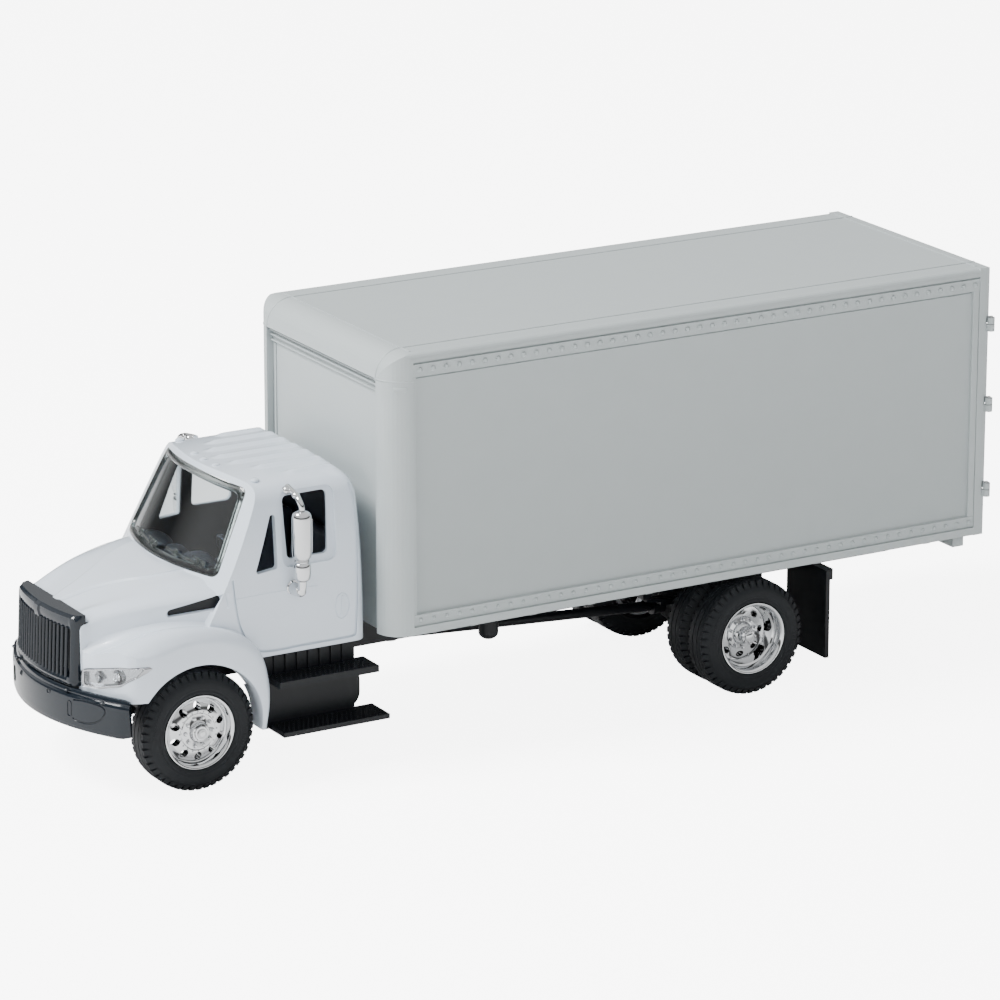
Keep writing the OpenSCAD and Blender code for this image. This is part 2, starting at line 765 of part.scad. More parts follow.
module rear_door_left() {
  face = box_end - 0.1;
  strap = 4.5;
  rim = 1.6;
  color("white") difference() {
    union() {
      block([door_gap / 2, face - door_t, door_z[0]], [door_x, face, door_z[1]]);
      for (z = hinge_z)
        translate([hinge_x, hinge_y, z + 0.15]) {
          cylinder(d = knuckle_d, h = knuckle_l - 0.15);
          block([door_x - strap - hinge_x, -0.25, 0], [0, 0.35, knuckle_l - 0.15]);
          block([door_x - strap - hinge_x, -hinge_out - 0.1, 0], [door_x - hinge_x, 0.3, knuckle_l - 0.15]);
        }
    }
    block([door_gap / 2 + rim, face - 0.3, door_z[0] + rim],
      [door_x - rim - strap, face + 2, door_z[1] - rim]);
    for (z = hinge_z)
      translate([hinge_x, hinge_y, z - 1]) cylinder(r = pin_d / 2 + fit, h = knuckle_l + 2);
  }
}

module lock_rods_left() {
  door_face = box_end - 0.4;
  rod_y = box_end + 0.35;
  color("silver") for (x = rod_x) {
    translate([x, rod_y, door_z[0] + 2]) cylinder(d = rod_d, h = door_z[1] - door_z[0] - 4);
    for (share = [0.06, 0.5, 0.9])
      translate([x, 0, door_z[0] + share * (door_z[1] - door_z[0])])
        block([-0.9, door_face, 0], [0.9, rod_y + 0.2, 1.4]);
    if (x == rod_x[0])
      translate([x, rod_y, door_z[0] + 14]) block([-5.5, -0.35, 0], [0.4, 0.35, 1]);
  }
}

module rear_bar() {
  color("lightgray") block([-24, bar_y, deck - 2.6], [24, box_end - 1.4, box_z]);
}

module tail_lamps() {
  color("red") for (side = [-1, 1])
    translate([side * 20, box_end - 1.4, deck - 2]) block([-2.4, 0, 0], [2.4, 0.8, 2.4]);
}

// Tyre on its bead seats, outer face at X = 0 and body towards -X
tread_r = tyre_d / 2;
flange_r = rim_d / 2;
seat_r = flange_r - 0.6;
flange_t = 0.6;

module tyre(out_x) {
  w = tyre_w;
  color([0.12, 0.12, 0.13]) translate([out_x, 0, 0]) rotate([0, 90, 0]) rotate_extrude() polygon([
    [seat_r, -flange_t - 0.3], [flange_r + 0.05, -flange_t - 0.3], [flange_r + 0.05, -0.4],
    [flange_r + 0.9, 0], [tread_r - 1.6, 0], [tread_r - 0.3, -0.7], [tread_r, -1.4],
    [tread_r, -w + 1.4], [tread_r - 0.3, -w + 0.7], [tread_r - 1.6, -w], [flange_r + 0.9, -w],
    [flange_r + 0.05, -w + 0.4], [flange_r + 0.05, -w + flange_t + 0.3], [seat_r, -w + flange_t + 0.3]
  ]);
}

// Front wheel: rim, convex centre and hub, in one moulding
module front_wheel() {
  out = front_face;
  color("silver") translate([out, 0, 0]) difference() {
    rotate([0, 90, 0]) rotate_extrude() polygon([
      [axle_d / 2, front_hub_in - out], [3, front_hub_in - out], [3, -3.2], [seat_r - 0.9, -3.6],
      [seat_r - 0.9, -tyre_w + 0.3], [flange_r, -tyre_w + 0.3], [flange_r, -tyre_w + 0.3 + flange_t],
      [seat_r, -tyre_w + 0.3 + flange_t], [seat_r, -0.3 - flange_t], [flange_r, -0.3 - flange_t],
      [flange_r, -0.3], [seat_r - 0.4, -0.3], [seat_r - 1, -2.2], [4.6, -1], [2.6, -0.6],
      [2.4, 0.4], [1.6, 1.2],
      [axle_d / 2, 1.2]
    ]);
    for (i = [0 : 9])
      rotate([i * 36, 0, 0]) translate([-6, 0, 5.42]) rotate([0, 90, 0]) cylinder(r = 0.65, h = 8);
  }
}

// Rear wheel for a pair of tyres: long barrel, deep dish and hub
module rear_wheel() {
  out = rear_face;
  pair = 2 * tyre_w + dual_gap;
  dish = -tyre_w + 1.6;
  color("silver") translate([out, 0, 0]) difference() {
    rotate([0, 90, 0]) rotate_extrude() polygon([
      [axle_d / 2, rear_hub_in - out], [3, rear_hub_in - out], [3, dish - 1.4], [seat_r - 0.9, dish - 1.4],
      [seat_r - 0.9, -pair + 0.3], [seat_r, -pair + 0.3], [seat_r, -0.3 - flange_t],
      [flange_r, -0.3 - flange_t], [flange_r, -0.3], [seat_r - 0.6, -0.3], [seat_r - 1, dish],
      [3.4, dish + 0.4], [3, dish + 1.6], [2.2, -1.4], [axle_d / 2, -1.4]
    ]);
    for (i = [0 : 9])
      rotate([i * 36, 0, 0]) translate([dish - 2, 0, 5]) rotate([0, 90, 0]) cylinder(r = 0.8, h = 4);
  }
}

module axle(half) {
  color("silver") bar_x(axle_d / 2, -half, half);
}

module at_front_axle() {
  translate([0, front_y, axle_z]) children();
}

module at_rear_axle() {
  translate([0, rear_y, axle_z]) children();
}

cab_body();
windshield();
seat_tub();
dashboard();
steering_wheel();
grille();
front_bumper();
headlight_left();
right_hand() headlight_left();  // headlight_right
headlight_lens_left();
right_hand() headlight_lens_left();  // headlight_lens_right
hood_vent_left();
right_hand() hood_vent_left();  // hood_vent_right
mirror_left();
right_hand() mirror_left();  // mirror_right
chassis_frame();
front_axle_beam();
front_springs();
driveline();
rear_axle_housing();
rear_springs();
air_dryer();
step_left();
right_hand() step_left();  // step_right
mud_flap_left();
right_hand() mud_flap_left();  // mud_flap_right
chassis_screws();
box_floor();
box_side_left();
right_hand() box_side_left();  // box_side_right
box_roof();
box_front();
rear_frame();
rear_bar();
tail_lamps();
hinge_pins();
at_front_axle() axle(front_face + 1);  // front_axle
at_front_axle() front_wheel();  // front_wheel_left
at_front_axle() right_hand() front_wheel();  // front_wheel_right
at_front_axle() tyre(front_face);  // front_tyre_left
at_front_axle() right_hand() tyre(front_face);  // front_tyre_right
at_rear_axle() axle(rear_face - 1.6);  // rear_axle
at_rear_axle() rear_wheel();  // rear_wheel_left
at_rear_axle() right_hand() rear_wheel();  // rear_wheel_right
at_rear_axle() tyre(rear_face);  // rear_tyre_left_outer
at_rear_axle() tyre(rear_face - tyre_w - dual_gap);  // rear_tyre_left_inner
at_rear_axle() right_hand() tyre(rear_face);  // rear_tyre_right_outer
at_rear_axle() right_hand() tyre(rear_face - tyre_w - dual_gap);  // rear_tyre_right_inner
rear_door_left();
right_hand() rear_door_left();  // rear_door_right
lock_rods_left();
right_hand() lock_rods_left();  // lock_rods_right
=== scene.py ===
import math
import json

import bmesh
import bpy
from mathutils import Matrix, Vector


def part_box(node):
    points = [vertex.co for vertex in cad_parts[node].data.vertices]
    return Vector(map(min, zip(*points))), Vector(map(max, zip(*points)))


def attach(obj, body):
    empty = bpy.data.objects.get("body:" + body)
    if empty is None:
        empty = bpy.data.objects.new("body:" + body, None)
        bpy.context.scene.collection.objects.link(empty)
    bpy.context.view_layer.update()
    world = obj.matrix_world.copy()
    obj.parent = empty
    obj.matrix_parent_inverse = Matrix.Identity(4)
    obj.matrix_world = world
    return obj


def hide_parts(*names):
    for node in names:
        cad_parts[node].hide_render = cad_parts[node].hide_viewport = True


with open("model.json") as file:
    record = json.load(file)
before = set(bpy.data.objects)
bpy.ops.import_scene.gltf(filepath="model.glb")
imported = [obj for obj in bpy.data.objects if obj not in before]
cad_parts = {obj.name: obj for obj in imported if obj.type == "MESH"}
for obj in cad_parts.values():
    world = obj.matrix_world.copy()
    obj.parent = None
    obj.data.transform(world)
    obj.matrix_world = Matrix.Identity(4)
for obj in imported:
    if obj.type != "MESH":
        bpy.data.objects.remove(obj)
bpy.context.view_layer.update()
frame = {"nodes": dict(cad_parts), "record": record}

MM = 0.001
SIDES = ((1, "left"), (-1, "right"))


# -------- small helpers

def show(name, data):
    """Object in the scene for a mesh, a lamp or a camera."""
    made = bpy.data.objects.new(name, data)
    bpy.context.scene.collection.objects.link(made)
    return made


def set_inputs(node, **values):
    """Values for a node's sockets, with _ for each space in a socket's name."""
    for key, value in values.items():
        node.inputs[key.replace("_", " ")].default_value = value


def add(tree, kind, links=None, **values):
    """Node of a kind, with its incoming links and the values of its sockets."""
    made = tree.nodes.new(kind)
    for key, source in (links or {}).items():
        tree.links.new(source, made.inputs[key])
    set_inputs(made, **values)
    return made


def math_node(tree, operation, first, second):
    """Result of one math step on two values, each a number or a socket."""
    made = tree.nodes.new("ShaderNodeMath")
    made.operation = operation
    for slot, value in enumerate((first, second)):
        if isinstance(value, (int, float)):
            made.inputs[slot].default_value = value
        else:
            tree.links.new(value, made.inputs[slot])
    return made.outputs[0]


def new_material(name):
    """Material with its node tree and its main shader."""
    material = bpy.data.materials.new(name)
    material.use_nodes = True
    return material, material.node_tree, material.node_tree.nodes["Principled BSDF"]


# -------- stage, camera and lights

WORLD_LEVEL = 0.40
WORLD_SEEN = 7.2
FLOOR_SEEN = 7.0
LIT = (0, 0, 0.04)


def make_camera():
    """Camera ahead of the nose on the driver's side, a little above it, with a long lens."""
    azimuth = math.radians(60.0)
    elevation = math.radians(16.9)
    distance = 1.101
    aim = Vector((-0.0042, 0.0011, 0.0405))
    away = Vector((math.sin(azimuth) * math.cos(elevation),
                   -math.cos(azimuth) * math.cos(elevation), math.sin(elevation)))
    data = bpy.data.cameras.new("camera")
    data.lens = 188.4
    data.sensor_width = 36
    data.shift_x = 0.014
    data.shift_y = 0.0018
    data.clip_start = 0.01
    camera = show("camera", data)
    camera.location = aim + away * distance
    camera.rotation_euler = away.to_track_quat("Z", "Y").to_euler()
    bpy.context.scene.camera = camera


def area_light(name, place, size, power, mirrored=True):
    """Soft lamp turned to the truck's middle, which shiny parts mirror or not."""
    data = bpy.data.lights.new(name, "AREA")
    data.shape = "RECTANGLE"
    data.size, data.size_y = size
    data.energy = power
    lamp = show(name, data)
    lamp.location = place
    lamp.rotation_euler = (Vector(place) - Vector(LIT)).to_track_quat("Z", "Y").to_euler()
    lamp.visible_glossy = mirrored


def make_world():
    """Even soft light, a white backdrop, and bright and dark bands for plated parts to mirror."""
    world = bpy.data.worlds.new("studio")
    world.use_nodes = True
    tree = world.node_tree
    back = tree.nodes["Background"]
    set_inputs(back, Color=(1.0, 1.0, 1.0, 1.0))
    around = add(tree, "ShaderNodeTexCoord")
    axes = add(tree, "ShaderNodeSeparateXYZ", {"Vector": around.outputs["Generated"]})
    bands = add(tree, "ShaderNodeValToRGB", {"Fac": axes.outputs["Z"]})
    for place, tone in ((0.08, 0.12), (0.22, 0.10), (0.34, 0.85), (0.60, 1.0)):
        bands.color_ramp.elements.new(place).color = (tone, tone, tone, 1.0)
    bands.color_ramp.elements[0].color = (0.55, 0.55, 0.55, 1.0)
    path = add(tree, "ShaderNodeLightPath")
    glossy = add(tree, "ShaderNodeMix", {
        "Factor": path.outputs["Is Glossy Ray"], "B": bands.outputs["Color"]}, A=WORLD_LEVEL)
    seen = add(tree, "ShaderNodeMix", {
        "Factor": path.outputs["Is Camera Ray"], "A": glossy.outputs["Result"]}, B=WORLD_SEEN)
    tree.links.new(seen.outputs["Result"], back.inputs["Strength"])
    bpy.context.scene.world = world


def make_stage():
    """Pale floor under the wheels, and soft lights all round."""
    floor = bmesh.new()
    bmesh.ops.create_grid(floor, x_segments=1, y_segments=1, size=6.0)
    mesh = bpy.data.meshes.new("floor")
    floor.to_mesh(mesh)
    floor.free()
    material, tree, shader = new_material("pale_floor")
    noise = add(tree, "ShaderNodeTexNoise", Scale=3.0)
    tone = add(tree, "ShaderNodeMapRange", {"Value": noise.outputs["Fac"]}, To_Min=0.88, To_Max=0.92)
    tree.links.new(tone.outputs["Result"], shader.inputs["Base Color"])
    tree.links.new(tone.outputs["Result"], shader.inputs["Emission Color"])
    path = add(tree, "ShaderNodeLightPath")
    tree.links.new(math_node(tree, "MULTIPLY", path.outputs["Is Camera Ray"], FLOOR_SEEN),
                   shader.inputs["Emission Strength"])
    set_inputs(shader, Roughness=0.9)
    mesh.materials.append(material)
    show("floor", mesh)
    area_light("key", (-0.25, -0.75, 1.05), (0.45, 0.45), 30.0)
    area_light("left", (1.1, -0.25, 0.55), (0.4, 0.5), 6.5, False)
    area_light("nose", (0.15, -1.2, 0.35), (0.5, 0.4), 5.0, False)
    area_light("back", (-0.5, 0.8, 0.9), (0.8, 0.6), 4.0, False)


make_camera()
make_world()
make_stage()


# -------- finishes

def node_group(name, inputs, outputs):
    """Empty shader group with sockets for numbers: inputs with their defaults, and outputs."""
    group = bpy.data.node_groups.new(name, "ShaderNodeTree")
    for label, default in inputs:
        socket = group.interface.new_socket(label, in_out="INPUT", socket_type="NodeSocketFloat")
        socket.default_value = default
    for label in outputs:
        group.interface.new_socket(label, in_out="OUTPUT", socket_type="NodeSocketFloat")
    return group, group.nodes.new("NodeGroupInput"), group.nodes.new("NodeGroupOutput")


def make_fine_grain():
    """Even fine grain: a height for bumps and a mask for small changes of roughness."""
    group, enter, leave = node_group("fine_grain", [("Scale", 2500.0), ("Detail", 3.0)], ["Height", "Mask"])
    place = add(group, "ShaderNodeTexCoord")
    noise = add(group, "ShaderNodeTexNoise", {
        "Vector": place.outputs["Object"], "Scale": enter.outputs["Scale"],
        "Detail": enter.outputs["Detail"]})
    slow = math_node(group, "MULTIPLY", enter.outputs["Scale"], 0.06)
    cloud = add(group, "ShaderNodeTexNoise", {"Vector": place.outputs["Object"], "Scale": slow})
    group.links.new(noise.outputs["Fac"], leave.inputs["Height"])
    group.links.new(cloud.outputs["Fac"], leave.inputs["Mask"])
    return group


def make_scuffs():
    """Sparse small marks and dust specks, as a mask from 0 to 1."""
    group, enter, leave = node_group("scuffs", [("Scale", 260.0), ("Amount", 0.3)], ["Mask"])
    place = add(group, "ShaderNodeTexCoord")
    cells = add(group, "ShaderNodeTexVoronoi", {
        "Vector": place.outputs["Object"], "Scale": enter.outputs["Scale"]})
    stretch = add(group, "ShaderNodeMapping", {"Vector": place.outputs["Object"]}, Scale=(1.0, 0.12, 1.6))
    lines = add(group, "ShaderNodeTexNoise", {
        "Vector": stretch.outputs["Vector"], "Scale": enter.outputs["Scale"]}, Detail=4.0)
    speck = add(group, "ShaderNodeMapRange", {"Value": cells.outputs["Distance"]},
                From_Min=0.05, From_Max=0.02)
    streak = add(group, "ShaderNodeMapRange", {"Value": lines.outputs["Fac"]},
                 From_Min=0.62, From_Max=0.78)
    both = math_node(group, "MAXIMUM", speck.outputs["Result"], streak.outputs["Result"])
    group.links.new(math_node(group, "MULTIPLY", both, enter.outputs["Amount"]), leave.inputs["Mask"])
    return group


GRAIN = make_fine_grain()
SCUFFS = make_scuffs()
PATCHES = 0.35
RELIEF = 0.00002


def use_group(tree, group, **values):
    """A shared group placed in a material, with values of its own."""
    made = tree.nodes.new("ShaderNodeGroup")
    made.node_tree = group
    set_inputs(made, **values)
    return made


def finish_material(name, color, worn_color, rough, rough_worn, grain_scale, bump, scuff,
                    metallic=0.0, coat=0.0, coat_rough=0.05, specular=0.5):
    """Surface with fine grain in its relief and slow patches and scuffs in colour and gloss."""
    material, tree, shader = new_material(name)
    set_inputs(shader, Metallic=metallic, Coat_Weight=coat, Coat_Roughness=coat_rough,
               Specular_IOR_Level=specular)
    grain = use_group(tree, GRAIN, Scale=grain_scale)
    marks = use_group(tree, SCUFFS, Amount=scuff)
    mixed = math_node(tree, "MAXIMUM", marks.outputs["Mask"],
                      math_node(tree, "MULTIPLY", grain.outputs["Mask"], PATCHES))
    tint = add(tree, "ShaderNodeMix")
    tint.data_type = "RGBA"
    tree.links.new(mixed, tint.inputs[0])
    tint.inputs[6].default_value = (*color, 1.0)
    tint.inputs[7].default_value = (*worn_color, 1.0)
    tree.links.new(tint.outputs[2], shader.inputs["Base Color"])
    gloss = add(tree, "ShaderNodeMapRange", {"Value": mixed}, To_Min=rough, To_Max=rough_worn)
    tree.links.new(gloss.outputs["Result"], shader.inputs["Roughness"])
    relief = add(tree, "ShaderNodeBump", {"Height": grain.outputs["Height"]},
                 Strength=bump, Distance=RELIEF)
    tree.links.new(relief.outputs["Normal"], shader.inputs["Normal"])
    return material


def glass_material(name, color, rough):
    """Clear moulded plastic with a faint ripple."""
    material = finish_material(name, color, color, rough, rough + 0.03, 500.0, 0.03, 0.2)
    set_inputs(material.node_tree.nodes["Principled BSDF"], Transmission_Weight=1.0, IOR=1.49)
    return material


MATERIALS = {
    "cab_paint": finish_material(
        "gloss_white_paint", (0.62, 0.69, 0.77), (0.57, 0.635, 0.71), 0.22, 0.34, 1400.0, 0.10, 0.10,
        coat=0.8, coat_rough=0.04),
    "box_plastic": finish_material(
        "satin_white_moulding", (0.40, 0.44, 0.445), (0.355, 0.395, 0.40), 0.42, 0.52, 3200.0, 0.35, 0.14),
    "chassis_plastic": finish_material(
        "black_moulding", (0.0035, 0.0045, 0.006), (0.010, 0.012, 0.015), 0.36, 0.52, 3000.0, 0.4, 0.25,
        specular=0.3),
    "interior_plastic": finish_material(
        "dark_blue_grey_moulding", (0.018, 0.021, 0.032), (0.034, 0.038, 0.050), 0.35, 0.5, 3000.0,
        0.4, 0.2),
    # Near-black cab inside: painted shade standing in for the white cab walls in shadow.
    "cab_inside": finish_material(
        "painted_shade_cab_sheet", (0.012, 0.016, 0.026), (0.015, 0.019, 0.030), 0.45, 0.5, 700.0, 0.05, 0.1,
        specular=0.3),
    "lamp_back": finish_material(
        "lamp_reflector", (0.46, 0.47, 0.49), (0.34, 0.35, 0.37), 0.08, 0.2, 1500.0, 0.15, 0.2,
        metallic=0.9),
    "tyre_rubber": finish_material(
        "soft_black_rubber", (0.006, 0.0075, 0.009), (0.015, 0.017, 0.020), 0.50, 0.70, 2600.0, 0.5, 0.30,
        specular=0.25),
    # Grille and bumper plating: its near-black colour is a painted dark reflection, standing in for chrome
    # mirroring dark surroundings.
    "smoked_chrome": finish_material(
        "painted_dark_reflection_plating", (0.007, 0.011, 0.016), (0.004, 0.006, 0.009), 0.10, 0.24, 1500.0, 0.12, 0.25,
        coat=0.12, specular=0.35),
    "bright_chrome": finish_material(
        "bright_plating", (0.72, 0.73, 0.74), (0.52, 0.53, 0.54), 0.05, 0.16, 1200.0, 0.10, 0.30,
        metallic=1.0),
    "steel": finish_material(
        "bare_steel", (0.52, 0.53, 0.54), (0.40, 0.40, 0.41), 0.25, 0.42, 1500.0, 0.2, 0.3,
        metallic=1.0),
    "lamp_red": finish_material(
        "red_lamp_moulding", (0.42, 0.012, 0.010), (0.30, 0.012, 0.012), 0.15, 0.3, 1500.0, 0.1, 0.1,
        coat=0.5),
    "clear_glazing": glass_material("clear_glazing", (0.80, 0.86, 0.88), 0.02),
    "glazing_rim": glass_material("tinted_rim", (0.42, 0.46, 0.45), 0.18),
    "clear_lens": glass_material("clear_lens", (0.95, 0.97, 0.98), 0.01),
}


# -------- mesh helpers

def spline(points, steps):
    """Points of a smooth curve through a list of points (any number of coordinates)."""
    out = []
    for i in range(len(points) - 1):
        b, c = points[i], points[i + 1]
        a = points[i - 1] if i else tuple(2 * p - q for p, q in zip(b, c))
        d = points[i + 2] if i + 2 < len(points) else tuple(2 * p - q for p, q in zip(c, b))
        for k in range(steps):
            t = k / steps
            out.append(tuple(
                0.5 * (2 * q + (r - p) * t + (2 * p - 5 * q + 4 * r - s) * t * t
                       + (3 * q - p - 3 * r + s) * t ** 3)
                for p, q, r, s in zip(a, b, c, d)))
    out.append(tuple(points[-1]))
    return out


def blend_keys(keys, at):
    """Value at a place along a list of (place, value), eased between the keys."""
    if at <= keys[0][0]:
        return keys[0][1]
    for (p0, v0), (p1, v1) in zip(keys, keys[1:]):
        if at <= p1:
            i = keys.index((p0, v0))
            before = keys[i - 1] if i else (p0 - (p1 - p0), v0)
            after = keys[i + 2] if i + 2 < len(keys) else (p1 + (p1 - p0), v1)
            t = (at - p0) / (p1 - p0)
            m0 = (v1 - before[1]) / (p1 - before[0]) * (p1 - p0)
            m1 = (after[1] - v0) / (after[0] - p0) * (p1 - p0)
            return ((2 * t ** 3 - 3 * t * t + 1) * v0 + (t ** 3 - 2 * t * t + t) * m0
                    + (3 * t * t - 2 * t ** 3) * v1 + (t ** 3 - t * t) * m1)
    return keys[-1][1]


def loft(bm, loops):
    """Closed skin over a row of loops with equal numbers of points."""
    ring = [bm.verts.new(p) for p in loops[0]]
    count = len(ring)
    edges = [bm.edges.new((ring[i], ring[(i + 1) % count])) for i in range(count)]
    first = list(ring)
    faces = []
    for points in loops[1:]:
        made = bmesh.ops.extrude_edge_only(bm, edges=edges)["geom"]
        fresh = {v for v in made if isinstance(v, bmesh.types.BMVert)}
        faces += [f for f in made if isinstance(f, bmesh.types.BMFace)]
        after = []
        for vert, point in zip(ring, points):
            mate = next(e.other_vert(vert) for e in vert.link_edges if e.other_vert(vert) in fresh)
            mate.co = point
            after.append(mate)
        ring = after
        edges = [bm.edges.get((ring[i], ring[(i + 1) % count])) for i in range(count)]
    faces += [bm.faces.new(first), bm.faces.new(ring)]
    bmesh.ops.recalc_face_normals(bm, faces=faces)


def closed_loft(bm, loops):
    """Skin over a row of loops that meets its own start."""
    rings = [[bm.verts.new(p) for p in loop] for loop in loops]
    faces = []
    for i, ring in enumerate(rings):
        mate = rings[(i + 1) % len(rings)]
        for k in range(len(ring)):
            n = (k + 1) % len(ring)
            faces.append(bm.faces.new((ring[k], ring[n], mate[n], mate[k])))
    bmesh.ops.recalc_face_normals(bm, faces=faces)


def lofted(loops):
    """Shape of its own from a row of loops."""
    bm = bmesh.new()
    loft(bm, loops)
    return bm


def prism(outline, place, low, high):
    """Straight prism: place turns an outline point and a height into a point."""
    return lofted([[place(p, low) for p in outline], [place(p, high) for p in outline]])


def circle(count):
    """Angles of a full turn, evenly spaced."""
    return [math.tau * k / count for k in range(count)]


def round_outline(points, radii, steps=5):
    """Outline of 2-D corner points with each corner turned into an arc."""
    out = []
    count = len(points)
    for i in range(count):
        b = Vector(points[i])
        r = radii[i] if isinstance(radii, (list, tuple)) else radii
        if r <= 0:
            out.append(tuple(b))
            continue
        to_a = (Vector(points[i - 1]) - b).normalized()
        to_c = (Vector(points[(i + 1) % count]) - b).normalized()
        half = to_a.angle(to_c) / 2
        middle = b + (to_a + to_c).normalized() * (r / math.sin(half))
        start = b + to_a * (r / math.tan(half)) - middle
        end = b + to_c * (r / math.tan(half)) - middle
        turn = start.angle_signed(end)
        for k in range(steps + 1):
            arm = start.copy()
            arm.rotate(Matrix.Rotation(-turn * k / steps, 2))
            out.append(tuple(middle + arm))
    return out


def block(bm, low, high, round_edges=0.0, segments=2):
    """Box from its low to its high corner, its edges rounded."""
    made = bmesh.ops.create_cube(bm, size=1.0)["verts"]
    size = [h - l for l, h in zip(low, high)]
    middle = [(h + l) / 2 for l, h in zip(low, high)]
    bmesh.ops.scale(bm, vec=size, verts=made)
    bmesh.ops.translate(bm, vec=middle, verts=made)
    if round_edges:
        edges = {e for v in made for e in v.link_edges}
        made = bmesh.ops.bevel(bm, geom=list(edges), offset=round_edges, offset_type="OFFSET",
                               segments=segments, profile=0.5, affect="EDGES", material=-1)["verts"]
    return made


def brick(low, high):
    """Box of its own, to add or cut with."""
    bm = bmesh.new()
    block(bm, low, high)
    return bm


def swing(bm, verts, angle, axis, place=(0, 0, 0)):
    """Turn some points about an axis through the origin, then move them to a place."""
    bmesh.ops.transform(bm, matrix=Matrix.Translation(place) @ Matrix.Rotation(angle, 4, axis), verts=verts)


def turned(bm, profile, axis="X", place=(0, 0, 0), steps=48, closed=False):
    """Shape turned from a profile of (radius, along) points, about an axis through a place."""
    around = {"X": Vector((1, 0, 0)), "Y": Vector((0, 1, 0)), "Z": Vector((0, 0, 1))}[axis]
    up = Vector((0, 0, 1)) if axis != "Z" else Vector((1, 0, 0))
    verts = [bm.verts.new(Vector(place) + up * r + around * a) for r, a in profile]
    edges = [bm.edges.new(pair) for pair in zip(verts, verts[1:])]
    if closed:
        edges.append(bm.edges.new((verts[-1], verts[0])))
    before = set(bm.faces)
    bmesh.ops.spin(bm, geom=verts + edges, cent=place, axis=around, dvec=(0, 0, 0),
                   angle=math.tau, steps=steps, use_merge=True, use_duplicate=False)
    points = list({v for f in bm.faces if f not in before for v in f.verts})
    bmesh.ops.remove_doubles(bm, verts=points, dist=0.0005)
    bmesh.ops.recalc_face_normals(bm, faces=[f for f in bm.faces if f not in before])


def tube(bm, path, radius, sides=8):
    """Round bar along a path of points; radius is one number or one for each point."""
    loops = []
    path = [Vector(p) for p in path]
    side = None
    for i, point in enumerate(path):
        ahead = (path[min(i + 1, len(path) - 1)] - path[max(i - 1, 0)]).normalized()
        if side is None:
            side = ahead.orthogonal().normalized()
        side = (side - ahead * side.dot(ahead)).normalized()
        up = ahead.cross(side)
        r = radius[i] if isinstance(radius, (list, tuple)) else radius
        loops.append([point + r * (side * math.cos(a) + up * math.sin(a)) for a in circle(sides)])
    loft(bm, loops)


def dome(bm, place, size, steps=8):
    """Small rounded boss, squashed to a size."""
    made = bmesh.ops.create_uvsphere(bm, u_segments=steps, v_segments=max(4, steps // 2),
                                     radius=1.0)["verts"]
    bmesh.ops.scale(bm, vec=size, verts=made)
    bmesh.ops.translate(bm, vec=place, verts=made)


def boolean(base, tool, operation):
    """Base bmesh with another added or cut away, both in millimetres."""
    objects = []
    for bm in (base, tool):
        bmesh.ops.recalc_face_normals(bm, faces=bm.faces)
        mesh = bpy.data.meshes.new("scratch")
        bm.to_mesh(mesh)
        bm.free()
        objects.append(show("scratch", mesh))
    change = objects[0].modifiers.new("change", "BOOLEAN")
    change.operation = operation
    change.solver = "MANIFOLD"
    change.object = objects[1]
    graph = bpy.context.evaluated_depsgraph_get()
    done = bpy.data.meshes.new_from_object(objects[0].evaluated_get(graph))
    out = bmesh.new()
    out.from_mesh(done)
    for made in objects:
        mesh = made.data
        bpy.data.objects.remove(made)
        bpy.data.meshes.remove(mesh)
    bpy.data.meshes.remove(done)
    return out


def cut(base, tool):
    """Base with a tool cut away."""
    return boolean(base, tool, "DIFFERENCE")


def mirror_copy(bm):
    """Same shape on the other side of the truck."""
    other = bm.copy()
    bmesh.ops.scale(other, vec=(-1, 1, 1), verts=other.verts)
    bmesh.ops.reverse_faces(other, faces=other.faces)
    return other


def on_side(bm, side):
    """Shape as made for the left (1), or its mirror image for the right (-1)."""
    return bm if side > 0 else mirror_copy(bm)


def cut_both(shell, cutter):
    """Shell with a cutter taken away on both sides of the truck."""
    other = mirror_copy(cutter)
    return cut(cut(shell, cutter), other)


def piece(name, bm, finish, body, *replaced):
    """New piece from a shape in millimetres, riding a body, in place of the CAD nodes named."""
    bmesh.ops.scale(bm, vec=(MM, MM, MM), verts=bm.verts)
    mesh = bpy.data.meshes.new(name)
    bm.to_mesh(mesh)
    bm.free()
    mesh.shade_smooth()
    mesh.set_sharp_from_angle(angle=math.radians(32.0))
    mesh.materials.append(MATERIALS[finish])
    made = show(name, mesh)
    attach(made, body)
    if replaced:
        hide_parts(*replaced)


def corner(node, high=False):
    """Low or high corner of a CAD node's box, in millimetres."""
    return [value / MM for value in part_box(node)[1 if high else 0]]


FRONT_Y = (corner("front_axle")[1] + corner("front_axle", True)[1]) / 2
REAR_Y = (corner("rear_axle")[1] + corner("rear_axle", True)[1]) / 2
AXLE_Z = (corner("front_axle")[2] + corner("front_axle", True)[2]) / 2
DECK = corner("chassis_frame", True)[2]


def at(x, y, z):
    """Point of the cab, with Y from the front axle and Z from the top of the frame rails."""
    return (x, y + FRONT_Y, z + DECK)


# -------- cab shell
# Y and Z in this part are the cab's own, as for at().

BACK = 39.6
ROOF = 36.0
BELT = 17.5
CAB_HALF = 22.7
ROOF_TURN = 4.4
SIDE_TURN = 2.6
WALL = 1.4
SCREEN_FOOT = (2.5, 17.6)
SCREEN_LEAN = math.radians(28.5)
SCREEN_TALL = 19.6
ARCH_R = 14.2
ARCH_IN = 16.2
ARCH_Z = AXLE_Z - DECK
NOSE = -20
NOSE_RADIUS = 44
NOSE_SHARE = 0.45
HANDLE = (33.6, 8.2)

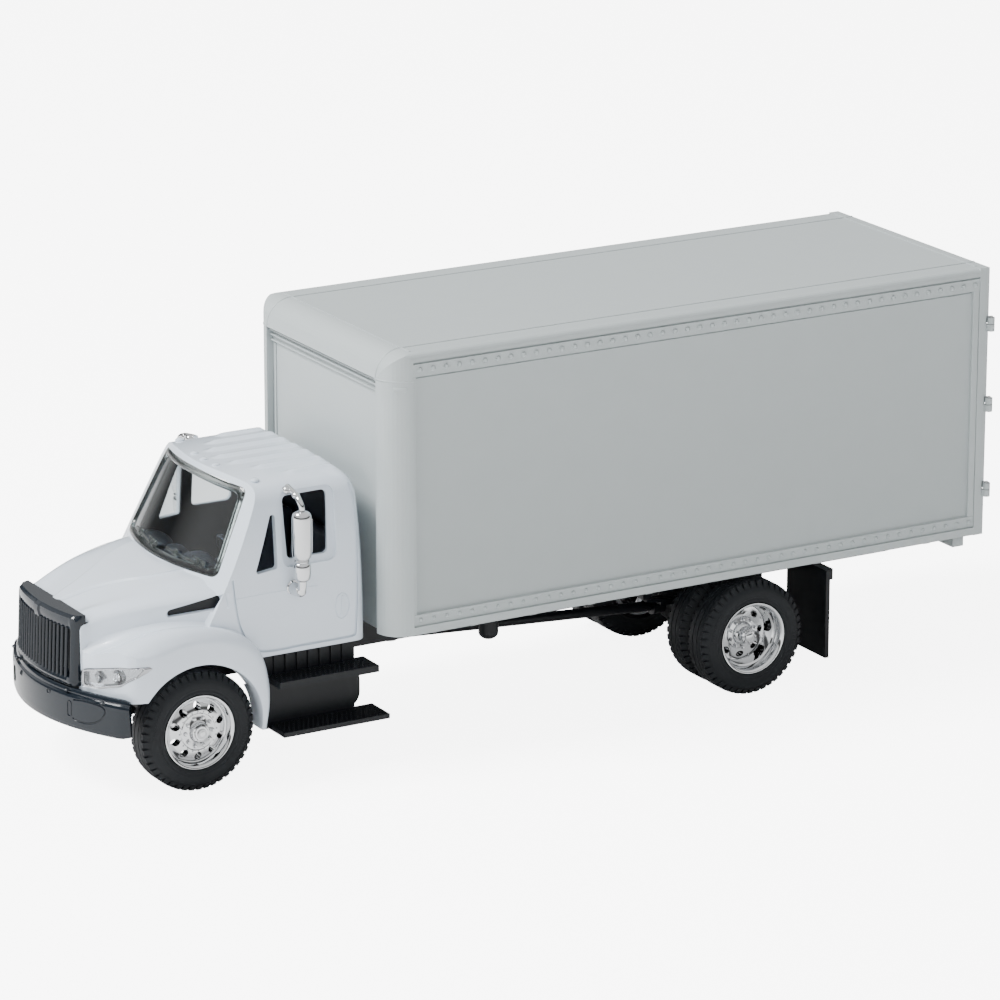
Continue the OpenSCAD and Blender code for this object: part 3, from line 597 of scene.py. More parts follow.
# Keys of (height, half width) for the cab's side, then the ribs pressed in its roof.
SIDE = [(0, 22.35), (3, 22.55), (8, 22.7), (13, 22.7), (17.5, 22.55), (22, 22.2), (27, 21.5),
        (31, 20.75), (32.6, 20.3), (33.9, 19.5), (34.8, 18.3), (35.3, 16.8)]
ROOF_RIBS = 7
RIB_PITCH = 5.1
RIB_HALF = 1.35
# Keys by Y for the hood: its top, half width, drop of the shoulders and half of the raised panel.
HOOD_TOP = [(-20, 11.9), (-17, 12.9), (-12, 14.5), (-6, 16.0), (0, 17.1), (3, 17.5), (9, 17.9)]
HOOD_HALF = [(-20, 13.7), (-15, 15.5), (-10, 17.3), (-4, 19.2), (2, 21.0), (6, 22.0), (9, 22.55)]
HOOD_DROP = [(-20, 0.9), (-10, 1.7), (0, 2.4), (5, 2.9), (9, 3.4)]
PANEL_HALF = [(-20, 1.0), (-17, 1.9), (-14, 2.7), (-11, 4.0), (-7, 6.2), (-4, 8.2), (2, 10.6), (9, 11.0)]
# Keys by degrees round the wheel, 0 to the rear and 90 up: radius, outer X and root X; then the plan.
WING_R = [(-8, 15.9), (0, 16.0), (15, 16.9), (30, 18.3), (42, 19.8), (52, 20.9), (63, 21.5), (76, 21.8),
          (90, 22.1), (110, 23.2), (130, 25.0), (143, 27.2), (150, 27.3), (158, 25.6)]
WING_X = [(-8, 24.4), (0, 24.7), (20, 25.3), (40, 25.7), (158, 25.7)]
WING_ROOT = [(-8, 19.5), (20, 19.5), (45, 18.0), (60, 12.0), (158, 12.0)]
WING_PLAN = [(5, -20.4), (13.6, -20.4), (17.0, -19.1), (24.6, -14.6), (25.9, -9), (25.9, 22), (5, 22)]

# Outlines and lines on the cab's side as (Y, Z), each window with the radius of its corners.
SIDE_WINDOWS = (([(19.3, 32.1), (14.0, 17.6), (19.1, 18.2)], 0.6),
                ([(21.6, 32.3), (31.7, 32.3), (30.8, 19.6), (21.6, 19.6)], 1.1))
WINDOW_STEP = [(20.7, 33.3), (33.0, 33.3), (32.5, 18.1), (20.3, 18.1)]
HOOD_VENT = [(-4.6, 12.0), (6.4, 14.5), (7.6, 11.9), (-3.6, 10.8)]
VENT_TURNS = [0.9, 0.7, 0.7, 0.5]
DOOR_SEAM = [(8.9, 17.3), (9.3, 13.0), (10.2, 8.0), (12.2, 3.9), (15.8, 1.3), (25.0, 1.2), (34.0, 1.2),
             (36.2, 1.4), (36.8, 3.0), (37.1, 17.0), (37.2, 28.0), (36.6, 33.0)]
REAR_SEAM = [(38.4, 1.0), (38.5, 10.0), (38.4, 20.0), (38.0, 30.0), (37.6, 33.0)]
SIDE_CREASE = [(9.2, 13.4), (14.0, 13.5), (20.0, 13.5), (28.0, 13.4)]


def ease(low, high, value):
    """Smooth step from 0 below the low value to 1 above the high one."""
    t = max(0.0, min(1.0, (value - low) / (high - low)))
    return t * t * (3 - 2 * t)


def side_x(z):
    """Half width of the cab at a height."""
    return blend_keys(SIDE, z)


def screen_point(x, depth, height):
    """Point in the windshield's frame: behind its middle by a depth, up its slope by a height."""
    return (x,
            SCREEN_FOOT[0] + depth * math.cos(SCREEN_LEAN) + height * math.sin(SCREEN_LEAN) + FRONT_Y,
            SCREEN_FOOT[1] - depth * math.sin(SCREEN_LEAN) + height * math.cos(SCREEN_LEAN) + DECK)


def glass_depth(x):
    """How far the bowed glass falls back at a distance from the middle."""
    return 4.4 * (x / 21.0) ** 2


def pane_point(x, depth, height):
    """Point on the curved glass, whose top and foot run nearly level."""
    level = (0.46 - 0.14 * height / SCREEN_TALL) * glass_depth(x)
    return screen_point(x, glass_depth(x) + depth, height + level)


def roof_rib(x, y):
    """Height of the pressed ribs at a place on the roof."""
    i = round(x / RIB_PITCH)
    across = abs(x - i * RIB_PITCH)
    if abs(i) > ROOF_RIBS // 2 or across > RIB_HALF:
        return 0.0
    start = 16.6 + 0.035 * (i * RIB_PITCH) ** 2
    return (0.55 * math.cos(math.pi * across / (2 * RIB_HALF)) ** 2
            * ease(start, start + 1.6, y) * (1 - ease(35.6, 37.4, y)))


def cabin_loop(y, inset, back):
    """Cross-section of the cabin at a Y, shrunk by inset."""
    t = max(0.0, y - (back - ROOF_TURN))
    roof = ROOF - inset - (ROOF_TURN - math.sqrt(max(0.0, ROOF_TURN ** 2 - t * t)))
    t = max(0.0, y - (back - SIDE_TURN))
    narrow = inset + SIDE_TURN - math.sqrt(max(0.0, SIDE_TURN ** 2 - t * t))
    foot = -6.0 if inset else 0.0
    half = [(side_x(z), z) for z in (foot, 2, 4, 8, 12, 15, 17.5, 20, 24, 28, 30, 31, 31.8, 32.6, 33.3,
                                     33.9, 34.4, 34.8, 35.1)]
    x = 16.8
    while x > 0.01:
        crown = 0.65 * (x / 17.0) ** 4 + 0.12 * (x / 17.0) ** 2
        half.append((x, ROOF - crown + (0.0 if inset else roof_rib(x, y))))
        x -= 0.35
    out = []
    for x, z in half:
        if z > 30:
            z = 30 + (z - 30) * (roof - 30) / (ROOF - 30)
        out.append((x * (CAB_HALF - narrow) / CAB_HALF, z))
    lean = max(0.0, (y - 25) / (back - 25))
    loop = out + [(-x, z) for x, z in reversed(out)]
    return [at(x, y - lean * max(z, 0) / ROOF, z) for x, z in loop]


def ahead_of_screen(inset):
    """Space in front of a surface that lies behind the windshield's by an inset."""
    curve = [(x, glass_depth(x) + inset) for x in (30 * i / 16 for i in range(-16, 17))]
    return prism(curve + [(30, -40), (-30, -40)], lambda p, h: screen_point(p[0], p[1], h), -40, 70)


def cabin_solid(inset):
    """Cabin behind the windshield, shrunk by inset on all sides."""
    back = BACK - inset
    stations = [2.0 + (3.0 if inset else 0.0)] + [8 + i for i in range(27)]
    stations += [back - ROOF_TURN + ROOF_TURN * math.sin(math.radians(a)) for a in range(0, 91, 10)]
    return cut(lofted([cabin_loop(y, inset, back) for y in stations]), ahead_of_screen(inset))


def nose_sweep(x):
    """How far the rounded nose falls back at a distance from the middle."""
    return NOSE_RADIUS - math.sqrt(NOSE_RADIUS ** 2 - x * x)


def hood_side(y):
    """X of the hood's side, just outside its skin."""
    return blend_keys(HOOD_HALF, y) + 0.02


def hood_loop(y, lower=0.0):
    """Cross-section of the hood at a Y, with its raised middle panel."""
    top = blend_keys(HOOD_TOP, y) - lower
    half = blend_keys(HOOD_HALF, y)
    drop = blend_keys(HOOD_DROP, y)
    panel = blend_keys(PANEL_HALF, y)
    edge = top - drop
    right = spline([
        (0.0, top + 0.02), (panel * 0.5, top + 0.02), (panel - 0.35, top + 0.02), (panel + 0.1, top - 0.06),
        (panel + 0.55, top - 0.36), (panel + 1.1, top - 0.46),
        ((panel + half) / 2, top - 0.46 - drop * 0.16), (half - 3.2, edge + 0.85),
        (half - 1.5, edge + 0.25), (half - 0.55, edge - 0.45), (half - 0.12, edge - 1.6),
        (half, edge - 3.5), (half + 0.05, edge - 6.0), (half + 0.1, -2.8)], 4)
    loop = right + [(-x, z) for x, z in reversed(right[1:])]
    swept = 1 - ease(NOSE, -7, y)
    return [at(x, y + NOSE_SHARE * swept * nose_sweep(x), z) for x, z in loop]


def hood_solid():
    """Hood from its rounded front edge to inside the cabin."""
    front = [(-21.5, 1.3), (-21.4, 0.75), (-21.1, 0.28), (-20.6, 0.05)]
    return lofted([hood_loop(y, lower) for y, lower in front] + [hood_loop(NOSE + i) for i in range(30)])


def wing_solid():
    """Wing swept round the wheel, from the foot of the skirt to the headlamp."""
    loops = []
    for degrees in range(-8, 160, 2):
        a = math.radians(degrees)
        r = blend_keys(WING_R, degrees)
        out = blend_keys(WING_X, degrees)
        root = blend_keys(WING_ROOT, degrees)
        thick = r - ARCH_R
        hood = blend_keys(HOOD_HALF, r * math.cos(a))
        blend = ease(36, 62, degrees)
        room = out - hood
        section = [(root, ARCH_R), (root, max(ARCH_R + 0.4, r - 2.5))]
        section += spline([
            (hood - 1.6, r + 2.6 * blend), (hood - 0.15, r + 0.35 * blend),
            (hood + 0.22 * room, r - 0.75 * blend), (hood + 0.48 * room, r - 0.25 * blend),
            (out - 0.26 * room, r - 0.06 * thick - 0.2), (out - 0.1 * room, r - 0.2 * thick - 0.2),
            (out, r - 0.45 * thick), (out, ARCH_R + 0.5)], 3)
        section += [(out - 0.12, ARCH_R + 0.15), (out - 0.45, ARCH_R)]
        loops.append([at(x, d * math.cos(a), d * math.sin(a) + ARCH_Z) for x, d in section])
    plan = prism(round_outline(WING_PLAN, [0, 1.0, 5, 5, 6, 0, 0], 8), lambda p, z: at(*p, z), -30, 30)
    wing = boolean(lofted(loops), plan, "INTERSECT")
    return cut(wing, brick(at(-1, -40, -30), at(40, -6, -4.2)))


def screen_outline(inset):
    """Outline of the windshield in its own plane: X across and height up the slope."""
    right = [(19.8 - inset, inset), (17.6 - inset, SCREEN_TALL - inset)]
    points = [(0, inset)] + right + [(0, SCREEN_TALL + 0.2 - inset), (-right[1][0], right[1][1]),
                                     (-right[0][0], right[0][1])]
    return round_outline(points, [0, 1.4, 1.6, 0, 1.6, 1.4], 4)


def dense_outline(inset):
    """Windshield's outline with its long edges divided, alike for every inset."""
    base, shape = screen_outline(0.0), screen_outline(inset)
    out = []
    for i, start in enumerate(base):
        parts = max(1, round((Vector(base[(i + 1) % len(base)]) - Vector(start)).length / 0.9))
        a, b = Vector(shape[i]), Vector(shape[(i + 1) % len(shape)])
        out += [tuple(a.lerp(b, k / parts)) for k in range(parts)]
    return out


def lamp_outline(inset):
    """Outline of a headlamp seen from the front, left side."""
    return round_outline([
        (14.2 + inset, -2.3 + inset), (17.8, -2.2 + inset), (22.2 - inset * 0.3, -1.0 + inset),
        (24.8 - inset, 1.2 + inset * 0.2), (26.0 - inset, 3.5 - inset * 0.6), (22.0, 3.1 - inset),
        (17.5, 2.1 - inset), (14.2 + inset, 1.4 - inset)], [0.6, 2.0, 2.0, 1.2, 0.4, 3.0, 3.0, 0.5], 4)


def seam_cutter(bm, path, width, sink):
    """Fine groove along a path on the cab's side, its middle this far outside the skin."""
    tube(bm, [at(side_x(z) + sink, y, z) for y, z in spline(path, 5)], width / 2)


def side_window(outline, radius):
    """Cutter right through the cab for a pair of side windows."""
    return prism(round_outline(outline, radius, 5), lambda p, x: at(x, *p), -40, 40)


def hollow(shell):
    """Room for people, for the engine and for the wheels."""
    shell = cut(shell, cabin_solid(WALL))
    shell = cut(shell, brick(at(-13.3, -19, -20), at(13.3, 20, 9.6)))
    shell = cut(shell, brick(at(-19.7, 8, -1), at(19.7, 20, 16)))
    arch = bmesh.new()
    turned(arch, [(0, ARCH_IN), (ARCH_R, ARCH_IN), (ARCH_R, 32), (0, 32)], "X", (0, FRONT_Y, AXLE_Z), 120)
    return cut_both(shell, arch)


def open_up(shell):
    """Openings for the windshield, side windows and hood vents, with a step round the side windows."""
    outline = dense_outline(0.0)
    shell = cut(shell, lofted([[pane_point(x, depth, h) for x, h in outline] for depth in (-7, 0, 6)]))
    for outline, radius in SIDE_WINDOWS:
        shell = cut(shell, side_window(outline, radius))
    ring = round_outline(WINDOW_STEP, 1.8, 6)
    shell = cut_both(shell, lofted([[at(side_x(z) - 0.55, y, z) for y, z in ring],
                                    [at(30, y * 1.04 - 1.0, z * 1.04 - 1.0) for y, z in ring]]))
    ring = round_outline(HOOD_VENT, VENT_TURNS, 4)
    mid_y, mid_z = 1.4, 12.4
    shell = cut_both(shell, lofted([
        [at(hood_side(y) + out, mid_y + (y - mid_y) * grow, mid_z + (z - mid_z) * grow) for y, z in ring]
        for out, grow in ((-1.5, 0.96), (-0.4, 1.0), (0.05, 1.1), (0.7, 1.3))]))
    return shell


def engrave(shell):
    """Door seams, side crease and the oval round the door handle."""
    seams = bmesh.new()
    seam_cutter(seams, DOOR_SEAM, 0.7, -0.22)
    shell = cut_both(shell, seams)
    seams = bmesh.new()
    seam_cutter(seams, REAR_SEAM, 0.6, -0.15)
    seam_cutter(seams, SIDE_CREASE, 0.3, 0.03)
    loops = []
    groove = 0.16
    for a in circle(28):
        y, z = HANDLE[0] + 1.55 * math.cos(a), HANDLE[1] + 2.7 * math.sin(a)
        loops.append([at(side_x(z) + groove * math.cos(b), y + groove * math.sin(b) * math.cos(a),
                         z + groove * math.sin(b) * math.sin(a)) for b in circle(8)])
    closed_loft(seams, loops)
    return cut_both(shell, seams)


def make_cab_shell():
    """Cabin, hood and wings in one hollow shell, with its openings, seams and marker lamps."""
    wing = wing_solid()
    other_wing = mirror_copy(wing)
    shell = boolean(cabin_solid(0.0), hood_solid(), "UNION")
    shell = boolean(shell, wing, "UNION")
    shell = boolean(shell, other_wing, "UNION")
    shell = engrave(open_up(hollow(shell)))
    shell = cut(shell, brick(at(-13.35, -40, -2.6), at(13.35, -18, 10.6)))
    shell = cut_both(shell, prism(lamp_outline(0.0), lambda p, y: at(p[0], y, p[1]), -30, -11.5))
    for x, y in ((-4.8, 14.6), (0, 14.3), (4.8, 14.6), (-16.6, 17.2), (16.6, 17.2)):
        dome(shell, at(x, y, ROOF - 0.55 * (abs(x) / 17) ** 4 - 0.05), (0.85, 1.0, 0.5), 12)
    y, z = HANDLE
    for x in (-22.68, 22.68):
        block(shell, at(x - 0.25, y - 0.25, z - 2.1), at(x + 0.25, y + 0.25, z + 2.1), 0.15)
    piece("cab_shell", shell, "cab_paint", "truck", "cab_body")


make_cab_shell()


# -------- glass, grille, bumper, lamps, mirrors

def make_windshield():
    """Curved pane with a thick moulded rim and two wipers at its foot."""
    loops = []
    for k in range(20):
        h = 1.0 + (SCREEN_TALL - 1.9) * k / 19
        half = 18.7 - 2.2 * h / SCREEN_TALL
        xs = [half * i / 14 for i in range(-14, 15)]
        loops.append([pane_point(x, 0.35, h) for x in xs] + [pane_point(x, 1.05, h) for x in reversed(xs)])
    piece("windshield_pane", lofted(loops), "clear_glazing", "truck", "windshield")
    rim = bmesh.new()
    section = [(0.05, 1.1), (0.05, 0.05), (0.3, -0.12), (0.8, -0.16), (1.3, -0.02), (1.55, 0.3), (1.6, 1.1)]
    rings = [[(x, depth, h) for x, h in dense_outline(inset)] for inset, depth in section]
    closed_loft(rim, [[pane_point(*point) for point in across] for across in zip(*rings)])
    for centre in (9.2, -7.2):
        arm = [(centre + 6.6, 1.5), (centre + 3.0, 1.9), (centre - 1.0, 2.3), (centre - 5.6, 2.5)]
        tube(rim, [pane_point(x, -0.1, h) for x, h in arm], 0.3)
        tube(rim, [pane_point(x, -0.15, h + 1.0) for x, h in arm[:2]], 0.26)
        for x, h in ((centre + 6.2, 2.0), (centre + 4.4, 2.2), (centre - 2.2, 2.4)):
            link = block(rim, (-0.55, -0.35, -0.75), (0.55, 0.3, 0.75), 0.18)
            swing(rim, link, -SCREEN_LEAN, "X", pane_point(x, -0.1, h))
    piece("windshield_rim", rim, "glazing_rim", "truck")


GRILLE_LOW = -2.6
GRILLE_BACK = -19.2
GRILLE_HALF = 11.4


def grille_face(x, z):
    """Y of the grille's smooth face."""
    return -24.3 + 0.7 * (z - GRILLE_LOW) / 14.6 + nose_sweep(x)


def make_grille():
    """Plated grille: upright ribs before a black back that is painted shade between them, smooth bands
    above and below, rounded cheeks; the plating's dark colour is painted reflection.
    """
    loops = []
    xs = [-13.1 + 26.2 * i / 174 for i in range(175)]
    for z in (GRILLE_LOW, -2.5, -1.6, -0.9, -0.85, 0.6, 3, 6, 8.6, 9.0, 9.1, 10.6, 11.4, 11.8, 12.0):
        ribbed = ease(-0.95, -0.75, z) * (1 - ease(8.95, 9.2, z))
        top = ease(11.2, 12.0, z)
        bottom = 1 - ease(GRILLE_LOW, -2.3, z)
        loop = []
        for x in xs:
            groove = ribbed * (1 - ease(11.2, 12.2, abs(x))) * 1.2
            boss = 0.35 * (1 - ease(0.9, 1.3, abs(x))) * ease(7.6, 8.4, z) * (1 - top)
            turn = max(0.0, abs(x) - 11.7)
            cheek = 1.2 - math.sqrt(max(0.0, 1.2 ** 2 - (turn * 1.2 / 1.42) ** 2))
            loop.append(at(x, grille_face(x, z) + groove - boss + cheek + 0.7 * top + 0.4 * bottom, z))
        loops.append(loop + [at(13.3, GRILLE_BACK, z), at(-13.3, GRILLE_BACK, z)])
    bm = lofted(loops)
    # Black backing behind the ribs: painted shade for the dark between them.
    back = lofted([[at(x, grille_face(x, z) + depth, z) for depth, way in ((1.12, 1), (1.5, -1))
                    for x in (GRILLE_HALF * k / 12 for k in range(-12 * way, 13 * way, way))]
                   for z in (-0.8, 3.0, 6.0, 9.05)])
    for x in (i * GRILLE_HALF / 8.6 for i in range(-8, 9)):
        tube(bm, [at(x, grille_face(x, z) + 0.35, z) for z in (-1.1, 1.5, 4.5, 7.5, 9.3)], 0.36)
    piece("grille_shade_backing", back, "chassis_plastic", "truck")
    piece("grille_plated", bm, "smoked_chrome", "truck", "grille")


BUMPER_HALF = 25.6
BUMPER_MID = -7.0
BEAD = 0.14


def bumper_front(x):
    """Y of the bumper's face."""
    return -25.0 + 7.6 * (x / 24.7) ** 2


def make_bumper():
    """Wrap-round bumper: a ledge on top, a rounded outline pressed in on each side, beads and bolts."""
    section = [(0.75, -11.1), (0.3, -10.9), (0.06, -10.4), (0.0, -9.6), (0.0, -5.0), (0.08, -4.5),
               (0.35, -4.15), (1.2, -3.9), (1.35, -3.2), (1.6, -3.0), (2.4, -3.0), (2.6, -3.3),
               (2.6, -10.6), (2.3, -11.1)]
    loops = []
    for t in (i / 30 for i in range(-30, 31)):
        x = BUMPER_HALF * t
        slope = math.atan2(15.2 * x / 24.7 ** 2, 1.0)
        end = ease(0.955, 1.0, abs(t))
        loop = []
        for depth, z in section:
            depth *= 0.62
            sweep = end * (0.8 - 0.35 * (z + 11.1) / 8.1)
            loop.append(at(x - depth * math.sin(slope) + 0.15 * (1 if t > 0 else -1) * end,
                           bumper_front(x) + depth * math.cos(slope) + 1.4 * sweep * (1 - depth / 2.6),
                           z + (BUMPER_MID - z) * 0.10 * end))
        loops.append(loop)
    arc = spline([(13.9, -4.9), (16.5, -4.6), (20.3, -4.8), (21.4, -5.7), (20.7, -7.4), (18.8, -8.7),
                  (16.6, -9.2), (14.6, -9.1), (13.6, -8.8)], 5)
    marks = bmesh.new()
    for side in (-1, 1):
        tube(marks, [at(side * x, bumper_front(x), z) for x, z in arc], 0.2)
    bm = cut(lofted(loops), marks)
    for side in (-1, 1):
        for x, z, half in ((12.8, -7.0, 1.6), (6.4, -4.9, 0.45)):
            ring = round_outline([(x - 0.5, z - half), (x + 0.5, z - half), (x + 0.5, z + half),
                                  (x - 0.5, z + half)], 0.4, 3)
            loops = []
            for u, v in ring:
                a = Vector((u - x, v - z)).normalized()
                loops.append([at(side * (u + BEAD * math.cos(b) * a.x),
                                 bumper_front(u) - BEAD * math.sin(b),
                                 v + BEAD * math.cos(b) * a.y) for b in circle(8)])
            closed_loft(bm, loops)
    for x, z in ((-11.6, -3.4), (11.6, -3.4), (-20.5, -4.2), (20.5, -4.2)):
        dome(bm, at(x, bumper_front(x) + 0.35, z), (0.7, 0.5, 0.4), 10)
    # The bumper's near-black plating colour is a painted dark reflection.
    piece("bumper_plated", bm, "smoked_chrome", "truck", "front_bumper")


def wing_face(x):
    """Y of the wing's front at the lamp."""
    return blend_keys([(13.0, -21.2), (14.2, -20.9), (17.0, -19.4), (20.0, -17.5), (23.0, -15.5),
                       (24.8, -13.9), (26.0, -12.4)], x)


def lamp_shell(bm, inset, low, high):
    """Plate that follows the wing inside the lamp's outline, between two depths."""
    mid_x, mid_z = 19.0, 0.6
    loops = []
    for depth, rows in ((low, range(8)), (high, range(7, -1, -1))):
        for share in (max(0.04, k / 7) for k in rows):
            ring = [(mid_x + (x - mid_x) * share, mid_z + (z - mid_z) * share)
                    for x, z in lamp_outline(inset)]
            loops.append([at(x, wing_face(x) + depth, z) for x, z in ring])
    loft(bm, loops)
    bmesh.ops.remove_doubles(bm, verts=bm.verts, dist=0.0005)


def make_lamps():
    """Plated reflector with a round and a square lamp, under a clear tear-shaped lens."""
    for side, name in SIDES:
        bowl = bmesh.new()
        lamp_shell(bowl, 0.15, 1.5, 2.6)
        for x, z, r, sides in ((20.6, 0.7, 1.45, 24), (17.0, 0.1, 1.4, 4)):
            y = wing_face(x) + 1.5
            ring = [(r, 0.9), (r, -0.5), (r - 0.25, -0.7), (r - 0.5, -0.5), (r * 0.45, 0.2), (0.0, 0.3),
                    (0.0, 0.9)]
            turned(bowl, ring, "Y", at(x, y, z), sides)
            dome(bowl, at(x, y - 0.1, z), (0.55, 0.6, 0.55), 12)
        rings = [[at(x, wing_face(x) + depth, z) for x, z in lamp_outline(inset)]
                 for inset, depth in ((0.02, 1.8), (0.02, 0.25), (0.45, 0.25), (0.45, 1.8))]
        closed_loft(bowl, list(zip(*rings)))
        lens = bmesh.new()
        lamp_shell(lens, 0.12, -0.12, 0.55)
        piece("lamp_bowl_" + name, on_side(bowl, side), "lamp_back", "truck", "headlight_" + name)
        piece("lamp_cover_" + name, on_side(lens, side), "clear_lens", "truck", "headlight_lens_" + name)


MIRROR_X = 26.8
MIRROR_Y = FRONT_Y + 22.4


def make_mirrors():
    """Plated mirror on each door: bracket and bent arm, long head, round head and elbow foot."""
    x, y = MIRROR_X, MIRROR_Y
    long_head = spline([(0.0, -0.1), (0.9, 0.0), (1.6, 0.35), (1.95, 1.0), (2.05, 2.0)], 4)
    long_head += spline([(2.05, 8.2), (1.95, 9.3), (1.55, 10.0), (0.9, 10.3), (0.0, 10.4)], 4)
    short_head = spline([(0.0, 0.0), (0.9, 0.1), (1.5, 0.5), (1.75, 1.2), (1.8, 2.6), (1.7, 3.6),
                         (1.2, 4.2), (0.0, 4.3)], 4)
    collar = [(0, -0.3), (1.5, -0.3), (1.65, 0.0), (1.5, 0.3), (0, 0.3)]
    arm = spline([(20.2, y + 0.4, 34.2), (22.4, y + 0.1, 34.0), (24.6, y, 33.6), (26.2, y - 0.2, 32.9),
                  (26.9, y, 31.6), (26.6, y, 29.9), (26.8, y, 28.4)], 5)
    foot = spline([(22.5, y, 13.9), (24.6, y - 0.1, 13.7), (26.4, y, 14.2), (26.8, y, 15.4),
                   (26.8, y, 16.6)], 4)
    foot_thick = [1.25] * 5 + [1.15] * 4 + [0.9] * (len(foot) - 9)
    knuckles = ((21.3, y - 0.5, 33.9, 1.05), (22.6, y + 0.8, 33.2, 0.85), (24.4, y, 33.5, 0.95))
    pad = [(0, 22.6), (1.5, 22.6), (1.5, 23.0), (1.2, 23.25), (0, 23.25)]
    for side, name in SIDES:
        bm = bmesh.new()
        turned(bm, long_head, "Z", (x, y, BELT + 3.1 + DECK), 28)
        turned(bm, short_head, "Z", (x, y, BELT - 1.4 + DECK), 24)
        turned(bm, collar, "Z", (x, y, BELT + 3.05 + DECK), 24)
        block(bm, (x - 1.0, y + 1.3, BELT + 4.6 + DECK), (x + 1.0, y + 2.0, BELT + 12.0 + DECK), 0.3)
        tube(bm, [(px, py, pz + DECK) for px, py, pz in arm], 0.62, 12)
        for px, py, pz, size in knuckles:
            dome(bm, (px, py, pz + DECK), (size, size * 0.9, size * 0.8), 14)
        tube(bm, [(px, py, pz + DECK) for px, py, pz in foot], foot_thick, 14)
        dome(bm, (25.9, y, 13.9 + DECK), (1.35, 1.2, 1.25), 14)
        turned(bm, pad, "X", (0, y, 13.9 + DECK), 20)
        piece("mirror_plated_" + name, on_side(bm, side), "bright_chrome", "truck", "mirror_" + name)


make_windshield()
make_grille()
make_bumper()
make_lamps()
make_mirrors()


# -------- wheels and tyres

# Half of the profile as (radius, X), from the bead to mid-tread, X = 0 on the outer face.
TYRE = [(7.2, -0.9), (7.85, -0.9), (7.9, -0.4), (8.15, -0.12), (8.5, -0.02), (8.75, -0.12),
        (8.95, -0.12), (9.15, 0.0), (9.8, -0.02), (10.5, -0.1), (11.05, -0.32), (11.5, -0.75),
        (11.85, -1.35), (12.2, -1.5), (12.45, -1.62), (12.5, -1.8), (12.5, -2.75), (12.2, -2.8),
        (12.2, -2.98), (12.5, -3.03), (12.5, -3.6)]
TYRE_WIDE = 7.4
LUGS = 46


def tyre_mesh():
    """Tyre at the origin, its outer face at X = 0 and its body towards the middle."""
    bm = bmesh.new()
    turned(bm, TYRE + [(r, -TYRE_WIDE - x) for r, x in reversed(TYRE)], steps=120, closed=True)
    for i in range(LUGS):
        for face, way in ((0.0, -1), (-TYRE_WIDE, 1)):
            near, far = face + way * 0.3, face + way * 1.75
            lug = block(bm, (min(near, far), -0.56, 11.15), (max(near, far), 0.56, 12.42))
            top = max(v.co.z for v in lug)
            for v in lug:
                if v.co.z > top - 0.01 and abs(v.co.x - near) < 0.01:
                    v.co.x += way * 0.75
            swing(bm, lug, math.tau * (i + (0.5 if way > 0 else 0)) / LUGS, "X")
    for start in (52, 232):
        for k in range(9):
            half = 0.16 + 0.12 * (k % 2)
            mark = block(bm, (-0.2, -half, 9.75), (0.02, half, 10.45))
            swing(bm, mark, math.radians(start + 4.6 * k), "X")
    return bm


def place_wheel(bm, y, side):
    """Wheel or tyre moved to its axle, on its side of the truck."""
    bmesh.ops.translate(bm, vec=(0, y, AXLE_Z), verts=bm.verts)
    return on_side(bm, side)


def nut_ring(bm, count, radius, x, size, steps, start=0.0):
    """Ring of small domed nuts round the hub."""
    for a in circle(count):
        dome(bm, (x, radius * math.sin(a + start), radius * math.cos(a + start)), size, steps)


def hand_holes(count, radius, x0, x1, size):
    """Cutter for a ring of oval holes through a disc."""
    bm = bmesh.new()
    for a in circle(count):
        made = bmesh.ops.create_cone(bm, cap_ends=True, segments=20, radius1=1.0, radius2=1.0,
                                     depth=x1 - x0)["verts"]
        swing(bm, made, math.pi / 2, "Y")
        bmesh.ops.scale(bm, vec=(1, size[0], size[1]), verts=made)
        bmesh.ops.translate(bm, vec=((x0 + x1) / 2, 0, radius), verts=made)
        swing(bm, made, a, "X")
    return bm


# Profiles as (radius, X) from the hub's face inwards, X = 0 on the tyre's outer face.
FRONT_DISC = [(0.0, 1.05), (0.55, 1.0), (0.95, 0.85), (1.05, 0.6), (1.4, 0.55), (1.5, 0.3), (1.85, 0.2),
              (2.0, -0.1), (2.15, -0.65), (2.35, -0.8), (3.7, -0.92), (3.85, -1.08), (4.1, -1.0),
              (4.4, -1.02), (5.2, -1.25), (5.9, -1.6), (6.3, -1.95), (6.55, -2.15), (6.75, -2.05),
              (6.85, -1.5), (7.0, -0.8), (7.2, -0.42), (7.45, -0.25), (7.7, -0.22), (7.8, -0.35),
              (7.8, -0.88), (7.22, -0.92), (7.22, -6.3), (7.8, -6.4), (7.8, -7.1), (6.3, -7.1),
              (6.3, -3.5), (3.0, -3.0), (3.0, -8.15), (0.0, -8.15)]
REAR_DISC = [(0.0, -1.42), (0.7, -1.48), (1.0, -1.7), (1.05, -2.1), (1.5, -2.2), (1.65, -2.6),
             (1.75, -3.6), (2.2, -3.9), (2.5, -4.5), (3.4, -4.7), (3.6, -5.1), (4.0, -5.3), (5.6, -5.6),
             (6.0, -5.55), (6.2, -5.2), (6.3, -4.2), (6.38, -2.9), (6.7, -2.6), (6.8, -1.6),
             (7.0, -0.8), (7.25, -0.4), (7.5, -0.25), (7.7, -0.24), (7.8, -0.4), (7.8, -0.88),
             (7.22, -0.92), (7.22, -15.5), (6.3, -15.5), (6.3, -7.2), (3.0, -7.0), (3.0, -16.35),
             (0.0, -16.35)]


def wheel_disc(profile, out):
    """Disc turned from a profile of (radius, along), the tyre's outer face at X = out."""
    disc = bmesh.new()
    turned(disc, [(r, out + x) for r, x in profile], steps=96)
    return disc


